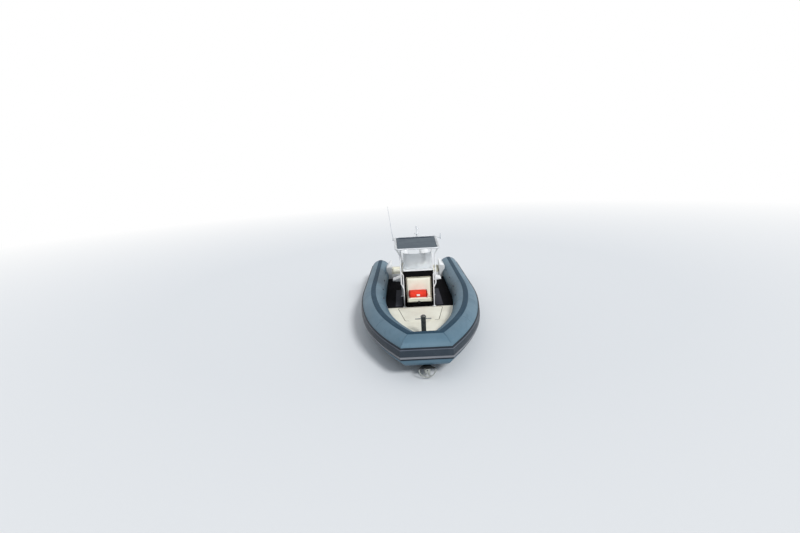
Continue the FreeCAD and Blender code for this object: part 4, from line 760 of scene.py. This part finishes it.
def finish_pads():
    pads = {thing.name: (thing, low, high) for thing, low, high, fill, cap in PADS}
    loops, inset = [], 0.014
    for name, axis in (("seat_cushion", 2), ("seat_backrest", 0), ("helm_cushion", 2), ("helm_back", 0),
                       ("bench_seat", 2), ("bench_back", 0)):
        thing, low, high = pads[name]
        for level in (low[axis] + inset, high[axis] - inset):
            loops.append(piping_loop(low, high, axis, level))
    piece("cushion_piping", loops, "piping")
    thing, low, high = pads["helm_cushion"]
    middle = (low.y + high.y) / 2
    groove(thing, [middle, middle - 0.37, middle + 0.37])
    for name, panels, face_axis in (("bench_seat", 4, 2), ("helm_back", 8, 0), ("bench_back", 8, 0)):
        thing, low, high = pads[name]
        groove(thing, [low.y + (high.y - low.y) * i / panels for i in range(1, panels)], face_axis)

    # Straps round the red bolster, their tails to the seat's sides, and its bare patch
    thing, low, high = pads["red_bolster"]
    centre, straps = (low.y + high.y) / 2, []
    for side in (-1, 1):
        y, end, edge = centre + side * 0.262, low.y if side < 0 else high.y, side * 0.372
        hoop = eased([(low.x - 0.002, y, low.z + 0.004), (low.x - 0.002, y, high.z + 0.003),
                      (high.x + 0.004, y, high.z + 0.003), (high.x + 0.004, y, low.z + 0.004)], 0.062, 8)
        straps.append(webbing(hoop, Y_AXIS * 0.012))
        tail = [Vector((high.x - back, y, low.z + up)) for back, y, up in (
            (0.075, end - side * 0.008, 0.085), (0.07, end + side * 0.02, 0.03), (0.065, (end + edge) / 2, 0.0045),
            (0.06, edge, 0.003), (0.06, edge + side * 0.008, -0.03), (0.06, edge + side * 0.008, -0.10))]
        straps.append(webbing(tail, X_AXIS * 0.014))
    piece("bolster_straps", straps, "strap")
    level = (low.z + high.z) / 2
    patch = box_mesh((high.x - 0.002, centre - 0.05, level - 0.026),
                     (high.x + 0.006, centre + 0.05, level + 0.034), 0.003)
    piece("bolster_patch", patch, "patch")


finish_pads()


# Console, seat base, dash and windshield

def build_console():
    softened("console", "black", 0.006)
    softened("console_dash", "white", 0.012, 4)
    softened("seat_plinth", "black", 0.008)
    softened("seat_locker_door", "black", 0.003, 2)
    softened("helm_seat_pod", "white", 0.012)
    softened("stern_bench", "white", 0.012)
    softened("throttle_levers", "steel", 0.003, 2)
    softened("helm_column", "satin", 0.003, 2)
    # The windshield's pale white is painted reflection
    softened("windshield", "shield", 0.002, 2)

    # Round latch on the seat base's front, below the cushion
    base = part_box("seat_plinth")[1].x
    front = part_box("front_seat_cushion")[1].x + 0.012
    rows = [(0.0, 0), (0.040, 0), (0.042, 0.003), (0.041, 0.010), (0.034, 0.014), (0.017, 0.016), (0.013, 0.022),
            (0.0, 0.023)]
    piece("seat_latch", [
        turned(rows, (front, -0.022, 0.694), X_AXIS, 36),
        box_mesh((base - 0.002, -0.040, 0.640), (base + 0.008, -0.004, 0.672), 0.003),
        box_mesh((base, -0.034, 0.650), (front + 0.002, -0.010, 0.668), 0.003)], "satin")

    # Instruments on the sloped dash: two screens in bezels, and a dome compass on top
    facing, along = Vector((-330, 0, 230)).normalized(), Vector((230, 0, 330)).normalized()
    top, glass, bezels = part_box("console_dash")[1].z, [], []
    for y, wide, tall in ((0.315, 0.125, 0.085), (-0.315, 0.10, 0.07)):
        middle = Vector((4.165, y, top - 0.165))
        for meshes, half_wide, half_tall, lift in ((bezels, wide + 0.014, tall + 0.014, 0.012),
                                                   (glass, wide, tall, 0.0145)):
            ring = [middle + Y_AXIS * (a * half_wide) + along * (b * half_tall)
                    for a, b in ((-1, -1), (1, -1), (1, 1), (-1, 1))]
            mesh = lofted([[p + facing * height for p in ring] for height in (-0.004, lift)])
            meshes.append(with_modifiers(mesh, rounded(0.003, 2)))
    rows = [(0.0, 0), (0.055, 0), (0.055, 0.012), (0.048, 0.018), (0.0, 0.018)]
    bezels.append(turned(rows, (4.50, 0.0, top - 0.001), steps=40))
    rows = [(0.042 * math.cos(t) + 0.0001, 0.036 * math.sin(t)) for t in angles(9, 0, 90)]
    glass.append(turned(rows, (4.50, 0.0, top + 0.016), steps=40))
    piece("dash_bezels", bezels, "satin")
    piece("dash_screens", glass, "screen")


build_console()


# Canopy frame, sheet and lacing

def ring_half(x):
    """Half the ring's width, which narrows forward."""
    share = (x - CANOPY_REAR) / (CANOPY_FRONT - CANOPY_REAR)
    return RING_REAR_HALF + share * (RING_FRONT_HALF - RING_REAR_HALF)


def build_canopy_frame():
    half = eased([(CANOPY_FRONT, 0, CANOPY_LEVEL), (CANOPY_FRONT, RING_FRONT_HALF, CANOPY_LEVEL),
                  (CANOPY_REAR, RING_REAR_HALF, CANOPY_LEVEL), (CANOPY_REAR, 0, CANOPY_LEVEL)], RING_BEND)
    meshes = [bar_mesh(half + [flip(p) for p in reversed(half[1:-1])], BAR_RADIUS, closed=True)]
    bar_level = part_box("canopy_frame")[0].z + BAR_RADIUS
    for share in (0.22, 0.5, 0.78):
        x = CANOPY_REAR + share * (CANOPY_FRONT - CANOPY_REAR)
        meshes.append(bar_mesh([(x, -ring_half(x), bar_level), (x, ring_half(x), bar_level)], BAR_RADIUS))
    # The ring's greyer coat is painted shade
    ring = piece("canopy_ring", meshes, "painted_shade_ring_coat")
    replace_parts(ring, "canopy_frame")

    front_head, rear_head = FRONT_LEG + 0.020, REAR_LEG - REAR_RAKE
    legs = [[(FRONT_LEG, LEG_FOOT_HALF, DECK), (FRONT_LEG, LEG_FOOT_HALF, KNEE_LOW),
             (FRONT_LEG, LEG_HALF, KNEE_HIGH), (front_head, LEG_HALF, LEG_TOP),
             (front_head, ring_half(front_head), CANOPY_LEVEL)],
            [(REAR_LEG, LEG_HALF, DECK), (rear_head, LEG_HALF, LEG_TOP),
             (rear_head, ring_half(rear_head), CANOPY_LEVEL)]]
    meshes = [bar_mesh(eased(route, LEG_BEND), LEG_RADIUS) for route in legs]
    rail_rear = REAR_LEG - REAR_RAKE * (RAIL_LEVEL - DECK) / (LEG_TOP - DECK)
    meshes.append(bar_mesh([(rail_rear, LEG_HALF, RAIL_LEVEL), (FRONT_LEG, LEG_HALF, RAIL_LEVEL)], LEG_RADIUS))
    hand_bar = [(FRONT_LEG, LEG_FOOT_HALF, KNEE_LOW), (FRONT_LEG, LEG_FOOT_HALF, 1.450),
                (FRONT_LEG + 0.008, LEG_HALF, 1.540)]
    meshes.append(bar_mesh(eased(hand_bar, LEG_BEND), 0.7 * LEG_RADIUS))
    flange = [(0.0, 0), (0.055, 0), (0.057, 0.002), (0.055, 0.007), (0.030, 0.010), (0.026, 0.018), (0.0, 0.018)]
    port = joined(meshes + [turned(flange, route[0]) for route in legs])
    starboard = mirrored_mesh(port)
    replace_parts(piece("side_bars_port", port, "paint"), "side_frame_port")
    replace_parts(piece("side_bars_starboard", starboard, "paint"), "side_frame_starboard")


build_canopy_frame()


def build_canopy():
    """One sheet laced inside the ring: crowned, a little slack between the bars, round at its corners."""
    inset, front_inset, corner = BAR_RADIUS + 0.034, BAR_RADIUS + 0.013, 0.11
    front, rear = CANOPY_FRONT - front_inset, CANOPY_REAR + inset
    long_steps, wide_steps = 64, 40

    def on_sheet(share, across, lift=0.0):
        x = rear + (front - rear) * share
        half = ring_half(x) - inset
        end = min(share, 1 - share) * (front - rear)
        if end < corner:
            half -= corner - math.sqrt(corner ** 2 - (corner - end) ** 2)
        sag = 0.010 * math.sin(math.pi * share * 4) ** 2 + 0.012 * math.exp(-((share - 0.08) / 0.04) ** 2)
        crown = 0.022 * (1 - across ** 2) * math.sin(math.pi * min(1, max(0, share))) ** 0.5
        return Vector((x, across * half, CANOPY_LEVEL + crown - sag * (1 - across ** 4) + lift))

    def cloth(rows, depth):
        return with_modifiers(lofted(rows, closed_ring=False, caps=False), thick(depth))

    rows = [[on_sheet(i / long_steps, -1 + 2 * k / wide_steps) for k in range(wide_steps + 1)]
            for i in range(long_steps + 1)]
    sheet = piece("canopy_sheet", cloth(rows, 0.002), "canvas")
    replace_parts(sheet, "canopy")
    edge = rows[0] + [row[-1] for row in rows[1:-1]] + rows[-1][::-1] + [row[0] for row in reversed(rows[1:-1])]
    hem = piece("canopy_hem", bar_mesh(edge, 0.006, 8, closed=True), "hem")

    # Painted shade: a thin dark sheet along the rear edge, wider to starboard, where the slack canvas lies in shadow
    band = [[on_sheet(0.090 - 0.030 * t + share * 0.100 * (1 - 0.62 * t), -0.86 + 1.72 * t, 0.0028)
             for share in (-0.5, -0.25, 0, 0.25, 0.5)] for t in (i / 24 for i in range(25))]
    rear_band = piece("canopy_shade_band", cloth(band, 0.0015), "rear_painted_shade")

    # Lacing: turns of line from the hem's eyelets round the ring
    total, spacing, pitch, loop_radius = [0.0], 0.085, 0.03, 0.028
    for a, b in zip(edge, edge[1:] + edge[:1]):
        total.append(total[-1] + (b - a).length)
    middle, turns = Vector(((CANOPY_REAR + CANOPY_FRONT) / 2, 0, CANOPY_LEVEL)), []
    for n in range(int(total[-1] / spacing)):
        at = n * spacing
        i = max(j for j in range(len(edge)) if total[j] <= at)
        here, after = edge[i], edge[(i + 1) % len(edge)]
        point = here.lerp(after, (at - total[i]) / (total[i + 1] - total[i]))
        along = (after - here).normalized()
        outward = along.cross(Z_AXIS)
        if outward.dot(point - middle) < 0:
            outward = outward * -1
        centre = point + outward * (front_inset if outward.x > 0.8 else inset)
        centre.z = CANOPY_LEVEL
        loop = [centre + swung(outward, Z_AXIS, t) * loop_radius + along * (pitch * k / 8)
                for k, t in enumerate(angles(8, 150, -150))]
        loop = [point + Z_AXIS * 0.004] + loop + [point + along * pitch - Z_AXIS * 0.004]
        turns.append(bar_mesh(loop, 0.0028, 6))
    piece("canopy_lacing", turns, "lace")


build_canopy()


# Aerials and mast

def build_aerials():
    mount_low, mount_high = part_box("antenna_mount")
    x, lean = (mount_low.x + mount_high.x) / 2, math.radians(6.4)
    base = Vector((x, -ring_half(x) - BAR_RADIUS - 0.034, CANOPY_LEVEL + 0.018))
    rows = [(0.0, 0.0), (0.009, 0.0), (0.009, 0.056), (0.015, 0.062), (0.016, 0.068), (0.016, 0.220), (0.0145, 0.230),
            (0.011, 0.236), (0.0105, 0.554), (0.0085, 0.562), (0.008, 0.80), (0.0065, 1.10), (0.006, 1.116),
            (0.0, 1.12)]
    eye = [(0.0, 0), (0.012, 0), (0.012, 0.02), (0.0, 0.02)]
    whip = piece("whip", [turned(rows, base, swung(Z_AXIS, Y_AXIS * -1, lean), 20),
                          turned(eye, base - Y_AXIS * 0.010, Y_AXIS, 24)], "aerial", "whip")
    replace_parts(whip, "vhf_antenna")
    softened("antenna_mount", "steel", 0.002, 2)

    top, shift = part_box("light_mast")[1].z, 0.060
    foot, height = Vector((CANOPY_REAR, shift, CANOPY_LEVEL)), top - CANOPY_LEVEL
    dome = [(0.0, 0.018), (0.032, 0.018), (0.032, 0.024), (0.016, 0.03), (0.015, 0.095), (0.070, 0.097),
            (0.085, 0.103), (0.085, 0.114)] + dome_rows(0.085, 0.114, 0.045, 6)
    stem = [(0.0, 0.14), (0.013, 0.14), (0.013, height - 0.052), (0.024, height - 0.050), (0.024, height - 0.006),
            (0.018, height), (0.0, height)]
    side_lamp = [(0.0, 0), (0.012, 0), (0.012, 0.045), (0.009, 0.05), (0.0, 0.05)]
    arm = Vector((0.012, 0.070, 0.018))
    root = foot + Vector((-arm.x, 0, height - 0.110))
    mast = piece("mast", [
        turned(dome, foot), turned(stem, foot, steps=32),
        box_mesh(root, root + arm + X_AXIS * arm.x, 0.003),
        turned(side_lamp, (CANOPY_REAR, shift + arm.y, top - 0.120), steps=24)], "lamp")
    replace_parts(mast, "light_mast")
    softened("stub_antenna", "aerial", 0.003, 3)


build_aerials()


# Steering wheel

def build_wheel():
    joint = next(j for j in frame["joints"] if j["name"] == "wheel_turn")
    centre, way = Vector(joint["pos_m"]), Vector(joint["axis"]).normalized()
    across = way.cross(Y_AXIS).normalized()
    other = way.cross(across)
    rim = [centre + swung(across, other, t) * 0.180 for t in angles(72)]
    wheel = piece("wheel_rim", bar_mesh(rim, 0.0145, 16, closed=True), "satin", "wheel")
    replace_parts(wheel, "steering_wheel")
    hub = [(0.0, -0.020), (0.038, -0.020), (0.038, 0.012), (0.030, 0.020), (0.0, 0.021)]
    parts, depth = [turned(hub, centre, way)], way * 0.003
    for t in angles(3):
        out = swung(across, other, t)
        side = way.cross(out)
        rings = [[centre + out * reach + side * a * half + depth * b for a, b in ((1, 1), (1, -1), (-1, -1), (-1, 1))]
                 for reach, half in ((0.02, 0.017), (0.07, 0.013), (0.13, 0.011), (0.172, 0.014))]
        parts.append(with_modifiers(lofted(rings), rounded(0.0015, 2)))
    piece("wheel_spokes", parts, "steel", "wheel")


build_wheel()


# Outboard engines

COWL_STEPS, COWL_POWER = 56, 2 / 3.4


def cowl_ring(low, high, share, front_in, rear_in, width, first=0, last=COWL_STEPS):
    """Points round a cowl at a share of its height; first and last pick a stretch of its steps."""
    middle, z = (low.y + high.y) / 2, low.z + share * (high.z - low.z)
    x0, x1, half, ring = low.x + rear_in, high.x - front_in, width * (high.y - low.y) / 2, []
    for t in angles(COWL_STEPS)[first:last]:
        a, b = (math.copysign(abs(share) ** COWL_POWER, share) for share in (math.cos(t), math.sin(t)))
        ring.append(Vector(((x0 + x1) / 2 + (x1 - x0) / 2 * a, middle + half * b, z)))
    return ring


def build_engines():
    for side in ("port", "starboard"):
        engine = "engine_" + side
        softened("clamp_bracket_" + side, "grey", 0.004, 2)
        softened("swivel_bracket_" + side, "grey", 0.004, 2)
        softened("engine_leg_" + side, "cowl", 0.003, 2)
        low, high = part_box("engine_cowl_" + side)
        rings = [cowl_ring(low, high, *row) for row in (
            (0.0, 0.060, 0.115, 0.74), (0.04, 0.030, 0.070, 0.84), (0.12, 0.012, 0.035, 0.93),
            (0.28, 0.002, 0.012, 0.985), (0.45, 0.0, 0.0, 1.0), (0.62, 0.006, 0.006, 0.985),
            (0.78, 0.024, 0.022, 0.945), (0.90, 0.060, 0.055, 0.87), (0.965, 0.105, 0.105, 0.75),
            (1.0, 0.19, 0.2, 0.5))]
        mesh = with_modifiers(lofted(rings), SUBDIVIDED)
        skin = BVHTree.FromPolygons([v.co.copy() for v in mesh.vertices], [tuple(p.vertices) for p in mesh.polygons])
        cowl = piece("cowl_skin_" + side, mesh, "cowl", engine)
        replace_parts(cowl, "engine_cowl_" + side)

        # A seal where the cowl lifts off, and air slots across its rear, all laid on the skin
        def laid(radius, closed, *ring):
            route = [skin.find_nearest(point)[0] for point in cowl_ring(low, high, *ring)]
            return bar_mesh(route, radius, 8, closed=closed)

        piece("cowl_seal_" + side, laid(0.0045, True, 0.16, 0.010, 0.030, 0.945), "strake_dark", engine)
        slots = [laid(0.0035, False, share, 0.014, 0.010, 0.965, 22, 35) for share in (0.60, 0.65, 0.70)]
        piece("cowl_slots_" + side, slots, "black", engine)
        softened("propeller_" + side, "steel", 0.002, 2)


build_engines()


# Stage: floor at the waterline, soft light, and the photograph's camera

def build_stage():
    mesh = mesh_of([(-90, -120, 0), (90, -120, 0), (90, 120, 0), (-90, 120, 0)], [(0, 1, 2, 3)])
    floor = placed("floor", mesh)
    look = Finish("floor_pale", (226, 229, 232), 0.8)
    mesh.materials.append(look.material)

    # Far out the floor turns to the background's white for the camera
    distance = look.add("ShaderNodeVectorMath", "Value", {0: look.coordinates}, operation="LENGTH")
    seen = look.add("ShaderNodeLightPath", "Is Camera Ray", {})
    share = look.add("ShaderNodeMath", 0, {0: look.ranged(distance, 0, 1, 10, 40), 1: seen}, operation="MULTIPLY")
    white = look.add("ShaderNodeEmission", 0, {"Color": (1, 1, 1, 1)})
    pale = look.tree.nodes["Principled BSDF"].outputs[0]
    mixed = look.add("ShaderNodeMixShader", 0, {0: share, 1: pale, 2: white})
    feed(look.tree, look.tree.nodes["Material Output"].inputs["Surface"], mixed)

    # The world lights softly; the camera, mirrors and glass see it plain white
    world = bpy.data.worlds.new("soft_sky")
    bpy.context.scene.world = world
    world.use_nodes = True
    tree = world.node_tree
    light = tree.nodes["Background"]
    light.inputs["Color"].default_value = (0.93, 0.96, 1.0, 1)
    light.inputs["Strength"].default_value = 0.53
    plain = add_node(tree, "ShaderNodeBackground", 0, {"Color": (1, 1, 1, 1)})
    rays = tree.nodes.new("ShaderNodeLightPath").outputs
    seen = rays["Is Camera Ray"]
    for ray in ("Is Glossy Ray", "Is Transmission Ray"):
        seen = add_node(tree, "ShaderNodeMath", 0, {0: seen, 1: rays[ray]}, operation="MAXIMUM")
    mixed = add_node(tree, "ShaderNodeMixShader", 0, {0: seen, 1: light.outputs[0], 2: plain})
    feed(tree, tree.nodes["World Output"].inputs["Surface"], mixed)

    sun = bpy.data.lights.new("sun", "SUN")
    sun.energy = 2.3
    sun.angle = math.radians(14)
    placed("sun", sun).rotation_euler = Vector((1.0, 0.58, 0.92)).to_track_quat("Z", "Y").to_euler()


def build_camera():
    """The camera solved from the photograph: focal length in pixels of an 800 wide image."""
    focal, pitch, yaw, roll = 425.30, 0.22088, -0.01646, -0.05467
    place = Vector((18.1312, -0.3423, 4.6390))
    forward = Vector((-math.cos(pitch) * math.cos(yaw), math.cos(pitch) * math.sin(yaw), -math.sin(pitch)))
    level = forward.cross(Z_AXIS).normalized()
    over = level.cross(forward)
    right, up = swung(level, over, roll), swung(over, level * -1, roll)
    data = bpy.data.cameras.new("camera")
    data.sensor_width = 36.0
    data.lens = focal / 800 * data.sensor_width
    data.clip_end = 300
    camera = placed("camera", data)
    camera.matrix_world = Matrix.Translation(place) @ Matrix((right, up, -forward)).transposed().to_4x4()
    bpy.context.scene.camera = camera


build_stage()
build_camera()
bpy.context.scene.view_settings.view_transform = "Standard"
